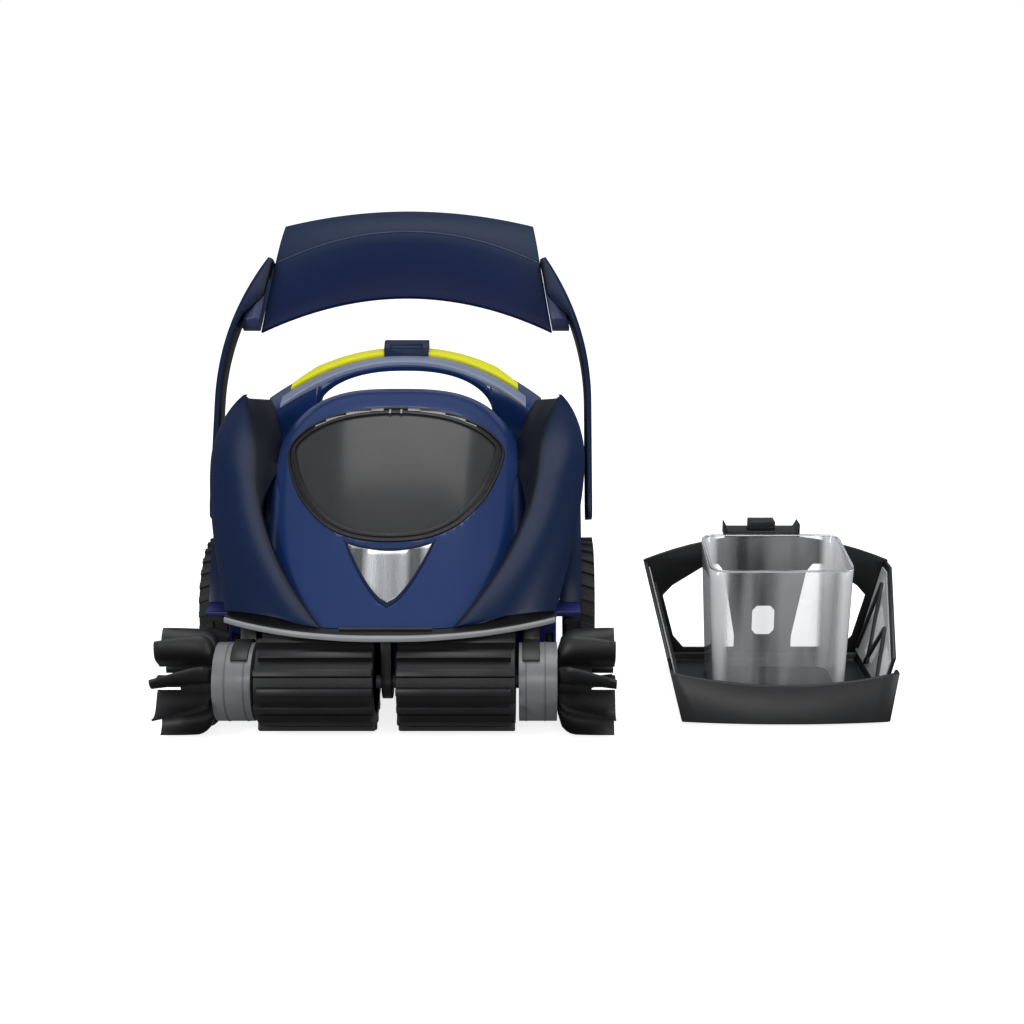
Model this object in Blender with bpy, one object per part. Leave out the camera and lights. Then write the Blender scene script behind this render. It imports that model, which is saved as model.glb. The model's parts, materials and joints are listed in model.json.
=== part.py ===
"""Robotic pool cleaner with its filter canister standing beside it.

Metres, +Z up, the front faces -Y and the floor is Z = 0.  Every piece is drawn in the cleaner's
working frame, where X = 0 is the plane of symmetry and Y = 0 is the brush axis.  At the end the
whole arrangement is moved so that its origin is the middle of its footprint on the floor.
"""
import math

import bmesh
import bpy
from mathutils import Vector

# ---------------------------------------------------------------- driving dimensions
GAP = 0.0003               # clearance between pieces that touch
RUN = 0.0004               # radial clearance round a shaft
WALL = 0.003               # moulded wall of the shells

PAN_HALF_WIDTH = 0.148
PAN_FRONT = 0.052
PAN_REAR = 0.298
PAN_BOTTOM = 0.030
PAN_TOP = 0.0925
FLANGE_HALF_WIDTH = 0.170
FLANGE_REAR = 0.305
FLANGE_DEPTH = 0.005

PLATE_THICKNESS = 0.004
PLATE_NOSE = -0.020        # foremost point of the bumper plate
PLATE_HALF_WIDTH = 0.147
TRIM_THICKNESS = 0.0032
TRIM_HEIGHT = 0.0050

DOME_HALF_WIDTH = 0.130
DOME_POWER = 3.0           # squareness of the dome's cross section
DOME_FOOT = (0.165, 0.100)  # Y, Z of the point where the dome's flanks gather
DOME_NOSE_Y = -0.006
DOME_CROWN_Z = 0.301       # control height of the dome's highest stretch
DOME_REAR = (0.196, 0.268)

REAR_HALF_WIDTH = 0.150
REAR_POWER = 3.5
REAR_FOOT_Y = 0.195
REAR_END_Y = 0.304
REAR_CROWN_Z = 0.238

WING_THICKNESS = 0.003
WING_LIP = 0.012
WING_HALF_WIDTH = 0.1755
PANEL_OUTER = 0.172
HOOP_ARM_X = 0.1805        # middle of the hoop's arms
HOOP_ARM_THICKNESS = 0.007
HOOP_PIVOT = (0.172, 0.158)
HOOP_LEAN = math.radians(28.4)
HOOP_PIN_RADIUS = 0.006
HOOP_CLIP_REAR = 0.0135      # back of the clips, square off the hoop's plane
BAND_LOWER_HALF = 0.146
BAND_CREASE_HALF = 0.134
BAND_TOP_HALF = 0.127
BAND_THICKNESS = 0.0045

HANDLE_HALF_SPAN = 0.135
HANDLE_TOP = 0.288
HANDLE_OPENING_HALF = 0.085
HANDLE_OPENING_TOP = 0.280
GREY_INLAY_HALF = 0.100
YELLOW_STRIP_HALF = 0.116
LATCH_HALF_WIDTH = 0.0225
LATCH_FRONT = 0.262
LATCH_DEPTH = 0.0195
LATCH_HEIGHT = 0.0105
LATCH_SEAT = 0.0077        # above the handle's top, on its inlays

BRUSH_AXIS_Z = 0.047
ROLLER_INNER = 0.010
ROLLER_OUTER = 0.112
ROLLER_RADIUS = 0.0435
ROLLER_LAMELLAE = 16
LAMELLA_DEPTH = 0.0065
ROLLER_CORE_RADIUS = 0.028
SHAFT_RADIUS = 0.006
DRUM_INNER = 0.115
DRUM_OUTER = 0.148
DRUM_RADIUS = 0.0345
SADDLE_THICKNESS = 0.0025
PADDLE_INNER = 0.1485
PADDLE_TIP = 0.1985
PADDLE_RADIUS = 0.047
PADDLE_HUB_OUTER = 0.178
PADDLE_HUB_RADIUS = 0.020
PADDLE_BLADES = 8
BLADE_THICKNESS = 0.0048

WHEEL_AXIS = (0.157, 0.0655)
WHEEL_RADIUS = 0.0655
WHEEL_RIM_RADIUS = 0.050
WHEEL_INNER = 0.156
WHEEL_OUTER = 0.185
AXLE_RADIUS = 0.005
ARCH_GAP = 0.0045

GEAR_MODULE = 0.002
GEAR_TEETH = 24
PINION_TEETH = 8
GEAR_INNER = 0.134
GEAR_WIDTH = 0.0045
BELT_INNER = 0.1396
BELT_WIDTH = 0.0045
BELT_THICKNESS = 0.0015
AXLE_PULLEY_RADIUS = 0.018
BRUSH_PULLEY_RADIUS = 0.012

BAY_HALF_WIDTH = 0.124
BAY_REAR = 0.222
BAY_TOP = 0.0966
BAY_WALL = 0.0025
INLET_HALF_WIDTH = 0.060
INLET_FRONT = 0.070
INLET_DEPTH = 0.030

PUMP_CENTRE_Y = 0.260
PUMP_RADIUS = 0.033
PUMP_TOP = 0.150
IMPELLER_RADIUS = 0.027
IMPELLER_PIN_RADIUS = 0.003

CAN_X = 0.353              # middle of the canister, beside the cleaner
CAN_FRONT = 0.012
CAN_BACK = 0.170
CAN_BASE_HALF = 0.093
CAN_TOP_HALF = 0.119
CAN_SIDE_TOP = 0.108
CAN_ARCH_TOP = 0.133
CAN_RIM_Z = 0.044
TRAY_SIDE_TOP = 0.014      # top of the tray's walls behind its deep front
CAN_WALL = 0.003
CAN_FOOT = 0.003
CAN_FOOT_HALF = 0.060
DUCT_TOP_Z = 0.134
DUCT_HALF_WIDTH = 0.066
DUCT_WALL = 0.002
PANEL_THICKNESS = 0.0010
BRACKET_LEFT = 0.042         # reach of the canister's top bracket either side of its middle
BRACKET_RIGHT = 0.030
BRACKET_SEAT = 0.007
CAN_TAB_HALF = 0.0125
CAN_TAB_HEIGHT = 0.0085


# ---------------------------------------------------------------- mesh helpers
def clear_scene():
    for old in list(bpy.context.scene.objects):
        bpy.data.objects.remove(old, do_unlink=True)


FINISHES = {
    "navy_gloss": ((0.012, 0.030, 0.120), 0.22, 0.0),
    "navy_wing": ((0.006, 0.016, 0.060), 0.28, 0.0),
    "chassis_blue": ((0.006, 0.009, 0.120), 0.40, 0.0),
    "black_plastic": ((0.010, 0.010, 0.011), 0.45, 0.0),
    "black_rubber": ((0.008, 0.008, 0.009), 0.60, 0.0),
    "tyre_rubber": ((0.012, 0.012, 0.013), 0.75, 0.0),
    "grey_satin": ((0.230, 0.235, 0.240), 0.38, 0.0),
    "light_grey": ((0.350, 0.355, 0.360), 0.40, 0.0),
    "grey_inlay": ((0.200, 0.230, 0.320), 0.40, 0.0),
    "yellow": ((0.780, 0.780, 0.010), 0.40, 0.0),
    "smoke_pane": ((0.045, 0.045, 0.045), 0.08, 0.0),
    "badge_metal": ((0.600, 0.610, 0.620), 0.20, 1.0),
    "clear_duct": ((0.700, 0.700, 0.720), 0.06, 0.0),
    "filter_mesh": ((0.600, 0.600, 0.600), 0.80, 0.0),
    "steel": ((0.500, 0.500, 0.510), 0.30, 1.0),
    "motor_grey": ((0.120, 0.120, 0.130), 0.50, 0.0),
}


def finish(name):
    """Make a Principled finish: colour, roughness and metallic value."""
    colour, roughness, metallic = FINISHES[name]
    material = bpy.data.materials.get(name)
    if material is None:
        material = bpy.data.materials.new(name)
        material.use_nodes = True
        shader = material.node_tree.nodes["Principled BSDF"]
        shader.inputs["Base Color"].default_value = (*colour, 1.0)
        shader.inputs["Roughness"].default_value = roughness
        shader.inputs["Metallic"].default_value = metallic
        material.diffuse_color = (*colour, 1.0)
    return material


def add_object(name, points, faces, material):
    mesh = bpy.data.meshes.new(name)
    mesh.from_pydata([tuple(point) for point in points], [], faces)
    work = bmesh.new()
    work.from_mesh(mesh)
    bmesh.ops.recalc_face_normals(work, faces=work.faces)
    work.to_mesh(mesh)
    work.free()
    mesh.shade_smooth()
    mesh.set_sharp_from_angle(angle=math.radians(35))
    piece = bpy.data.objects.new(name, mesh)
    piece.data.materials.append(finish(material))
    bpy.context.scene.collection.objects.link(piece)
    return piece


def loft(name, rings, material, closed=False):
    """Skin a row of equal rings; a closed loft joins its last ring to its first."""
    count = len(rings[0])
    points = [point for ring in rings for point in ring]
    faces = []
    spans = len(rings) if closed else len(rings) - 1
    for i in range(spans):
        here = i * count
        there = ((i + 1) % len(rings)) * count
        for j in range(count):
            k = (j + 1) % count
            faces.append((here + j, here + k, there + k, there + j))
    if not closed:
        faces.append(tuple(range(count)))
        faces.append(tuple(range(len(points) - count, len(points))))
    return add_object(name, points, faces, material)


def sheet(name, outer, inner, material):
    """Close the space between two equal grids of points, outer skin and inner skin."""
    rows = len(outer)
    columns = len(outer[0])
    points = [point for row in outer for point in row] + [point for row in inner for point in row]
    back = rows * columns

    def at(i, j):
        return i * columns + j

    faces = []
    for i in range(rows - 1):
        for j in range(columns - 1):
            quad = (at(i, j), at(i, j + 1), at(i + 1, j + 1), at(i + 1, j))
            faces.append(quad)
            faces.append(tuple(back + corner for corner in reversed(quad)))
    for i in range(rows - 1):
        for j in (0, columns - 1):
            faces.append((at(i, j), at(i + 1, j), back + at(i + 1, j), back + at(i, j)))
    for j in range(columns - 1):
        for i in (0, rows - 1):
            faces.append((at(i, j), at(i, j + 1), back + at(i, j + 1), back + at(i, j)))
    return add_object(name, points, faces, material)


def axis_point(axis, along, first, second):
    """A point given by its place along one axis and across the other two, in X, Y, Z order."""
    if axis == "X":
        return Vector((along, first, second))
    if axis == "Y":
        return Vector((first, along, second))
    return Vector((first, second, along))


def prism(name, outline, axis, low, high, material):
    rings = [[axis_point(axis, level, a, b) for a, b in outline] for level in (low, high)]
    return loft(name, rings, material)


def turned(name, profile, axis, centre, material, segments=20, closed=False):
    """Revolve (place along the axis, radius) about an axis through centre, given across it."""
    rings = []
    for along, radius in profile:
        ring = []
        for k in range(segments):
            angle = 2 * math.pi * k / segments
            first = centre[0] + radius * math.cos(angle)
            second = centre[1] + radius * math.sin(angle)
            ring.append(axis_point(axis, along, first, second))
        rings.append(ring)
    return loft(name, rings, material, closed)


def box(name, low, high, material):
    corners = [(low[0], low[1]), (high[0], low[1]), (high[0], high[1]), (low[0], high[1])]
    return prism(name, corners, "Z", low[2], high[2], material)


def circle(centre, radius, segments=32, start=0.0, turn=360.0):
    """Points on an arc in degrees; a full circle leaves its last point out."""
    steps = segments if turn >= 360.0 else segments + 1
    points = []
    for k in range(steps):
        angle = math.radians(start + turn * k / segments)
        points.append((centre[0] + radius * math.cos(angle), centre[1] + radius * math.sin(angle)))
    return points


def combine(piece, tools, operation, solver="EXACT"):
    """Apply a Boolean with each tool in turn, then delete the tools."""
    for tool in tools:
        modifier = piece.modifiers.new(operation, "BOOLEAN")
        modifier.operation = operation
        modifier.solver = solver
        modifier.object = tool
        bpy.context.view_layer.update()
        graph = bpy.context.evaluated_depsgraph_get()
        result = bpy.data.meshes.new_from_object(piece.evaluated_get(graph))
        piece.modifiers.clear()
        piece.data = result
        bpy.data.objects.remove(tool, do_unlink=True)
    piece.data.shade_smooth()
    piece.data.set_sharp_from_angle(angle=math.radians(35))
    return piece


def cut(piece, *tools):
    return combine(piece, tools, "DIFFERENCE")


def weld(piece, *tools):
    return combine(piece, tools, "UNION")


def keep(piece, *tools):
    return combine(piece, tools, "INTERSECT")


def bezier(controls, t):
    a, b, c, d = controls
    weights = ((1 - t) ** 3, 3 * t * (1 - t) ** 2, 3 * t * t * (1 - t), t ** 3)
    return [sum(w * p[i] for w, p in zip(weights, (a, b, c, d))) for i in range(len(a))]


def side_name(side, rest):
    return ("right_" if side > 0 else "left_") + rest


# ---------------------------------------------------------------- upper cover, which tips forward
def dome_profile(t):
    nose = (DOME_NOSE_Y, PAN_TOP + PLATE_THICKNESS + 3 * GAP)
    return bezier((nose, (0.079, 0.206), (0.140, DOME_CROWN_Z), DOME_REAR), t)


def dome_point(x, t, inward=0.0):
    """A point on the dome: its centre line shrunk towards the foot as x nears the flank."""
    ratio = (1 - (abs(x) / DOME_HALF_WIDTH) ** DOME_POWER) ** (1 / DOME_POWER)
    y, z = dome_profile(t)
    dy = y - DOME_FOOT[0]
    dz = z - DOME_FOOT[1]
    reach = math.hypot(dy, dz)
    shrink = ratio * (reach - inward / max(ratio, 0.35)) / reach
    return Vector((x, DOME_FOOT[0] + dy * shrink, DOME_FOOT[1] + dz * shrink))


def flank_stations(half, power, count):
    """Stations across a shell, closer together towards its flanks."""
    return [half * math.copysign(abs(s) ** power, s)
            for s in [2 * i / count - 1 for i in range(count + 1)]]


def dome_solid(name, material, outward=0.0, inward=WALL, across=20, along=10):
    stations = flank_stations(DOME_HALF_WIDTH - 0.002, 0.75, across)
    ts = [j / along for j in range(along + 1)]
    outer = [[dome_point(x, t, -outward) for t in ts] for x in stations]
    inner = [[dome_point(x, t, inward) for t in ts] for x in stations]
    return sheet(name, outer, inner, material)


WINDOW_BASE = Vector((0.0, 0.050, 0.164))
WINDOW_UP = Vector((0.0, 0.630, 0.777)).normalized()
WINDOW_OUT = Vector((0.0, -0.777, 0.630)).normalized()


def window_outline(margin):
    """Rounded shield: a flat-arched top, full shoulders and a round foot."""
    shoulder = 0.098 + margin
    top = 0.130 + margin
    foot = -0.001 - margin
    right = []
    for k in range(9):
        s = k / 8
        right.append((shoulder * 0.93 * math.sin(s * math.pi / 2), top - 0.021 * s ** 2.2))
    right.append((shoulder, 0.100))
    for k in range(1, 11):
        s = k / 10
        x = shoulder * math.cos(s * math.pi / 2) ** 0.80
        v = foot + (0.095 - foot) * (1 - math.sin(s * math.pi / 2)) ** 0.86
        if k < 10:
            right.append((x, v))
    right.append((0.0, foot))
    left = [(-x, v) for x, v in reversed(right[1:-1])]
    return right + left


def window_tool(name, margin):
    """A block along the window's own normal, used to trim the dome, gasket and pane."""
    rings = []
    for depth in (-0.060, 0.060):
        rings.append([WINDOW_BASE + WINDOW_UP * v + Vector((x, 0, 0)) + WINDOW_OUT * depth
                      for x, v in window_outline(margin)])
    return loft(name, rings, "black_rubber")


BADGE_TOP_HALF = 0.037
BADGE_TOP_V = -0.0075
BADGE_TIP_V = -0.062


def badge_tool(name, margin):
    """Shield outline: hollow top edge, straight flanks and a rounded tip."""
    half = BADGE_TOP_HALF + margin
    top = BADGE_TOP_V + margin
    tip = BADGE_TIP_V - margin
    outline = []
    for k in range(9):
        s = 2 * k / 8 - 1
        outline.append((half * s, top - 0.008 * (1 - s * s)))
    for k in range(1, 9):
        s = k / 8
        outline.append((half * (1 - s) ** 0.72, top + (tip - top) * s ** 0.95))
    for k in range(7, 0, -1):
        s = k / 8
        outline.append((-half * (1 - s) ** 0.72, top + (tip - top) * s ** 0.95))
    rings = []
    for depth in (-0.030, 0.060):
        rings.append([WINDOW_BASE + WINDOW_UP * v + Vector((x, 0, 0)) + WINDOW_OUT * depth
                      for x, v in outline])
    return loft(name, rings, "badge_metal")


GASKET_WIDTH = 0.007


def build_cover():
    dome = dome_solid("dome_shell", "navy_gloss")
    cut(dome, window_tool("window_hole", GASKET_WIDTH + GAP), badge_tool("badge_hole", GAP))

    gasket = dome_solid("window_gasket", "black_rubber", outward=0.0012)
    keep(gasket, window_tool("gasket_outer", GASKET_WIDTH))
    cut(gasket, window_tool("gasket_inner", GAP))
    pane = dome_solid("window_pane", "smoke_pane", outward=-0.0004)
    keep(pane, window_tool("pane_outline", 0.0))

    badge = dome_solid("badge_plate", "badge_metal", outward=0.0002)
    keep(badge, badge_tool("badge_outline", 0.0))

    for side in (-1, 1):
        build_wing(side)


def wing_inner(s):
    """Edge of the wing beside the dome, from the bumper (s = 0) to the swept tip (s = 1)."""
    if s < 0.62:
        u = s / 0.62
        x, y, z = bezier(((0.058, -0.0055, 0.0986), (0.092, 0.022, 0.130),
                          (0.118, 0.070, 0.160), (0.1285, 0.112, 0.202)), u)
    else:
        u = (s - 0.62) / 0.38
        x, y, z = bezier(((0.1285, 0.112, 0.202), (0.1305, 0.138, 0.222),
                          (0.130, 0.158, 0.243), (0.1525, 0.213, 0.262)), u)
    return Vector((x, y, z))


def wing_outer(s):
    if s < 0.62:
        u = s / 0.62
        x, y, z = bezier(((0.1475, 0.038, 0.0986), (0.158, 0.066, 0.130),
                          (0.174, 0.105, 0.172), (WING_HALF_WIDTH, 0.140, 0.212)), u)
    else:
        u = (s - 0.62) / 0.38
        x, y, z = bezier(((WING_HALF_WIDTH, 0.140, 0.212), (0.1765, 0.160, 0.234),
                          (0.168, 0.192, 0.254), (0.1535, 0.2135, 0.2635)), u)
    return Vector((x, y, z))


def wing_row(side, s, inset):
    """One row across the wing: inner edge, crowned middle, outer edge and the lip behind it."""
    first = wing_inner(s)
    last = wing_outer(s)
    span = last - first
    rise = Vector((0.25, -0.78, 0.57))
    crown = 0.12 * span.length
    row = []
    for k in range(7):
        w = k / 6
        row.append(first.lerp(last, w) + rise * crown * 4 * w * (1 - w))
    lip = WING_LIP * min(1.0, 6 * (1 - s) + 0.15)
    row.append(last + Vector((-0.0004, 0.5 * lip, 0.0)))
    row.append(last + Vector((-0.0012, lip, 0.0)))
    offset = Vector((-0.35, 0.80, -0.30)).normalized() * inset
    deep = []
    for k, point in enumerate(row):
        shift = offset if k < 6 else Vector((-0.95, 0.25, -0.10)).normalized() * inset
        if k == 6:
            shift = Vector((-0.80, 0.55, -0.20)).normalized() * inset
        deep.append(point + shift)
    chosen = deep if inset else row
    return [Vector((side * p.x, p.y, p.z)) for p in chosen]


def build_wing(side):
    steps = [i / 15 for i in range(15)] + [0.985]
    outer = [wing_row(side, s, 0.0) for s in steps]
    inner = [wing_row(side, s, WING_THICKNESS) for s in steps]
    return sheet(side_name(side, "wing"), outer, inner, "navy_wing")


# ---------------------------------------------------------------- lower body
def build_pan():
    pan = box("chassis_pan", (-PAN_HALF_WIDTH, PAN_FRONT, PAN_BOTTOM),
              (PAN_HALF_WIDTH, PAN_REAR, PAN_TOP), "chassis_blue")
    low = PAN_TOP - FLANGE_DEPTH
    front_flange = box("front_flange", (-FLANGE_HALF_WIDTH, PAN_FRONT + 0.004, low),
                       (FLANGE_HALF_WIDTH, WHEEL_AXIS[0] - WHEEL_RADIUS - 0.002, PAN_TOP), "chassis_blue")
    rear_start = WHEEL_AXIS[0] + WHEEL_RADIUS + 0.004
    half = FLANGE_HALF_WIDTH
    corner = 0.045
    outline = [(-half, rear_start), (half, rear_start), (half, FLANGE_REAR - corner),
               (half - 1.1 * corner, FLANGE_REAR), (-half + 1.1 * corner, FLANGE_REAR),
               (-half, FLANGE_REAR - corner)]
    rear_flange = prism("rear_flange", outline, "Z", low, PAN_TOP, "chassis_blue")
    weld(pan, front_flange, rear_flange)
    hollow = box("pan_hollow", (-PAN_HALF_WIDTH + WALL, PAN_FRONT + WALL, PAN_BOTTOM + WALL),
                 (PAN_HALF_WIDTH - WALL, PAN_REAR - WALL, PAN_TOP + 0.01), "chassis_blue")
    inlet = box("pan_inlet", (-INLET_HALF_WIDTH, INLET_FRONT, PAN_BOTTOM - 0.01),
                (INLET_HALF_WIDTH, INLET_FRONT + INLET_DEPTH, PAN_BOTTOM + 0.02), "chassis_blue")
    cut(pan, hollow, inlet)
    for side in (-1, 1):
        bore = turned("axle_bore", [(side * 0.140, AXLE_RADIUS + RUN), (side * 0.152, AXLE_RADIUS + RUN)],
                      "X", WHEEL_AXIS, "chassis_blue", 16)
        slot_x = sorted((side * (BELT_INNER - 0.0012), side * (PAN_HALF_WIDTH - WALL)))
        slot = box("belt_slot", (slot_x[0], PAN_FRONT - 0.002, BRUSH_AXIS_Z - 0.012),
                   (slot_x[1], PAN_FRONT + WALL + 0.002, BRUSH_AXIS_Z + 0.026), "chassis_blue")
        cut(pan, bore, slot)


def bumper_line(x):
    """Front edge of the bumper plate: a shallow bow that falls back towards its ends."""
    share = abs(x) / PLATE_HALF_WIDTH
    return PLATE_NOSE + 0.050 * share ** 2.3


def build_drum_bracket(side, plate_low):
    """Saddle under the plate that wraps the top and back of a drum and bears on the pan."""
    centre = (0.0, BRUSH_AXIS_Z)
    over = circle(centre, DRUM_RADIUS + GAP, 16, -8, 138)
    top = plate_low + 0.001
    outline = [(PAN_FRONT - GAP, BRUSH_AXIS_Z - 0.010), (PAN_FRONT - GAP, top), (0.030, top)]
    outline += circle(centre, DRUM_RADIUS + SADDLE_THICKNESS, 10, 48, 82)
    low, high = sorted((side * (DRUM_INNER + 0.003), side * (DRUM_INNER + 0.018)))
    return prism("drum_bracket", outline + list(reversed(over)), "X", low, high, "black_plastic")


def build_bumper():
    xs = [PLATE_HALF_WIDTH * (2 * i / 24 - 1) for i in range(25)]
    low = PAN_TOP + GAP
    front = [(x, bumper_line(x)) for x in xs]
    back = [(PLATE_HALF_WIDTH, PAN_FRONT + WALL), (-PLATE_HALF_WIDTH, PAN_FRONT + WALL)]
    plate = prism("bumper_plate", front + back, "Z", low, low + PLATE_THICKNESS, "black_plastic")
    top = low + PLATE_THICKNESS
    weld(plate, build_drum_bracket(-1, low), build_drum_bracket(1, low))
    rows = []
    for x in xs:
        y = bumper_line(x) - GAP
        deep = TRIM_THICKNESS * (1.25 if abs(x) < 0.045 else 1.0)
        rows.append([Vector((x, y, top)), Vector((x, y - deep, top - 0.0008)),
                     Vector((x, y - deep, top - TRIM_HEIGHT)), Vector((x, y, top - TRIM_HEIGHT))])
    loft("bumper_trim", rows, "light_grey")
    hinge_y = DOME_NOSE_Y - 0.0029
    turned("cover_hinge_pin", [(-0.040, 0.0014), (0.040, 0.0014)], "X",
           (hinge_y, top + GAP + 0.0014), "steel", 12)


def rear_profile(t):
    return bezier(((0.196, 0.232), (0.262, REAR_CROWN_Z), (0.302, 0.205),
                   (REAR_END_Y, PAN_TOP + GAP)), t)


def rear_point(x, t, inward=0.0):
    ratio = (1 - (abs(x) / REAR_HALF_WIDTH) ** REAR_POWER) ** (1 / REAR_POWER)
    y, z = rear_profile(t)
    dy = y - REAR_FOOT_Y
    dz = z - (PAN_TOP + GAP)
    reach = math.hypot(dy, dz)
    shrink = ratio * (reach - inward / max(ratio, 0.35)) / reach
    return Vector((x, REAR_FOOT_Y + dy * shrink, PAN_TOP + GAP + dz * shrink))


def rear_solid(name, material, outward=0.0, inward=WALL, across=14, along=8):
    stations = flank_stations(REAR_HALF_WIDTH - 0.002, 0.75, across)
    ts = [j / along for j in range(along + 1)]
    outer = [[rear_point(x, t, -outward) for t in ts] for x in stations]
    inner = [[rear_point(x, t, inward) for t in ts] for x in stations]
    return sheet(name, outer, inner, material)


def rear_height(x, y):
    """Height of the rear shell's outer face over a point of the plan."""
    low, high = 0.0, 1.0
    for _ in range(40):
        middle = (low + high) / 2
        if rear_point(x, middle).y < y:
            low = middle
        else:
            high = middle
    return rear_point(x, (low + high) / 2).z


GRILLE_RADIUS = 0.026


def grille_tool(name, radius):
    return turned(name, [(0.150, radius), (0.260, radius)], "Z", (0.0, PUMP_CENTRE_Y), "black_plastic", 32)


def build_rear_shell():
    shell = rear_solid("rear_shell", "navy_gloss")
    cut(shell, grille_tool("outlet_hole", GRILLE_RADIUS + GAP))
    grille = rear_solid("outlet_grille", "black_plastic", outward=-0.0003)
    keep(grille, grille_tool("grille_outline", GRILLE_RADIUS))
    slots = []
    for k in range(-2, 3):
        x = 0.009 * k
        half = math.sqrt((GRILLE_RADIUS - 0.004) ** 2 - x * x)
        slots.append(box("grille_slot", (x - 0.0025, PUMP_CENTRE_Y - half, 0.150),
                         (x + 0.0025, PUMP_CENTRE_Y + half, 0.260), "black_plastic"))
    cut(grille, *slots)


def build_side_panel(side):
    """Fixed flank between the wing's lip and the rear, arched over the wheel and open inwards."""
    low = PAN_TOP + GAP
    arch = WHEEL_RADIUS + ARCH_GAP
    rise = math.degrees(math.asin((low - WHEEL_AXIS[1]) / arch))
    over = circle(WHEEL_AXIS, arch, 14, rise, 180 - 2 * rise)
    outline = [(0.292, low), (0.288, 0.130), (0.262, 0.185), (0.235, 0.212), (0.205, 0.222),
               (0.178, 0.214), (0.150, 0.186), (0.122, 0.152), (0.098, 0.120), (0.082, low)]
    panel = prism(side_name(side, "side_panel"), outline + list(reversed(over)), "X",
                  side * (REAR_HALF_WIDTH + 0.0015), side * PANEL_OUTER, "navy_wing")
    inner_arch = circle(WHEEL_AXIS, arch + WALL, 14, 30, 120)
    hollow_line = [(0.283, 0.128), (0.260, 0.179), (0.233, 0.207), (0.205, 0.217),
                   (0.180, 0.209), (0.153, 0.181), (0.126, 0.148)]
    hollow = prism("panel_hollow", hollow_line + list(reversed(inner_arch)), "X",
                   side * (REAR_HALF_WIDTH - 0.002), side * (PANEL_OUTER - WALL), "navy_wing")
    combine(panel, [hollow], "DIFFERENCE", "MANIFOLD")
    pin = turned("pin_hole", [(side * 0.160, HOOP_PIN_RADIUS + RUN), (side * 0.180, HOOP_PIN_RADIUS + RUN)],
                 "X", HOOP_PIVOT, "navy_wing", 16)
    return cut(panel, pin)


# ---------------------------------------------------------------- carrying handle
def handle_section(x, lower=False):
    s = abs(x) / HANDLE_HALF_SPAN
    front_y = 0.250 - 0.050 * s * s
    rear_y = 0.285 - 0.040 * s * s
    front_z = HANDLE_TOP - 0.048 * s ** 2.2
    rear_z = HANDLE_TOP + 0.005 - 0.040 * s ** 2.2
    under = HANDLE_OPENING_TOP - 0.035 * (abs(x) / HANDLE_OPENING_HALF) ** 2.2
    seat_front = rear_height(x, front_y) - 0.002
    seat_rear = rear_height(x, rear_y) - 0.002
    return (front_y, rear_y, front_z, rear_z, max(under, seat_front), max(under + 0.002, seat_rear))


INLAY_DEPTH = 0.0015


def build_handle():
    xs = [HANDLE_HALF_SPAN * (2 * i / 28 - 1) for i in range(29)]
    rings = []
    for x in xs:
        front_y, rear_y, front_z, rear_z, under_front, under_rear = handle_section(x)
        rings.append([Vector((x, front_y, under_front)), Vector((x, front_y, front_z)),
                      Vector((x, front_y + 0.003, front_z + 0.0015)),
                      Vector((x, rear_y - 0.003, rear_z + 0.0005)), Vector((x, rear_y, rear_z)),
                      Vector((x, rear_y, under_rear))])
    handle = loft("handle_frame", rings, "navy_gloss")
    cut(handle, rear_solid("handle_seat", "navy_gloss", outward=GAP, inward=0.030))

    def strip(name, half, near, far, material):
        """Thin inlay laid on the handle's top, between two shares of its depth."""
        stations = [half * (2 * i / 20 - 1) for i in range(21)]
        rows = []
        for x in stations:
            front_y, rear_y, front_z, rear_z, _, _ = handle_section(x)
            a = Vector((x, front_y + 0.003, front_z + 0.0015))
            b = Vector((x, rear_y - 0.003, rear_z + 0.0005))
            up = Vector((0, a.z - b.z, b.y - a.y)).normalized()
            low = up * GAP
            high = up * (GAP + INLAY_DEPTH)
            near_point = a.lerp(b, near)
            far_point = a.lerp(b, far)
            rows.append([near_point + low, near_point + high, far_point + high, far_point + low])
        loft(name, rows, material)

    strip("handle_grey_inlay", GREY_INLAY_HALF, 0.12, 0.42, "grey_inlay")
    strip("handle_yellow_strip", YELLOW_STRIP_HALF, 0.45, 0.97, "yellow")
    low = HANDLE_TOP + LATCH_SEAT
    box("latch_button", (-LATCH_HALF_WIDTH, LATCH_FRONT, low),
        (LATCH_HALF_WIDTH, LATCH_FRONT + LATCH_DEPTH, low + LATCH_HEIGHT), "navy_wing")


# ---------------------------------------------------------------- lift hoop
HOOP_ALONG = Vector((0.0, math.sin(HOOP_LEAN), math.cos(HOOP_LEAN)))
HOOP_OFF = Vector((0.0, math.cos(HOOP_LEAN), -math.sin(HOOP_LEAN)))


def hoop_point(x, height, off):
    base = Vector((0.0, HOOP_PIVOT[0], HOOP_PIVOT[1]))
    return base + HOOP_ALONG * height + HOOP_OFF * off + Vector((x, 0, 0))


def arm_middle(height):
    """Half width of the hoop at a height above its pivot."""
    bend = max(0.0, (height - 0.105) / 0.151)
    return HOOP_ARM_X - 0.041 * bend ** 2


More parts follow.
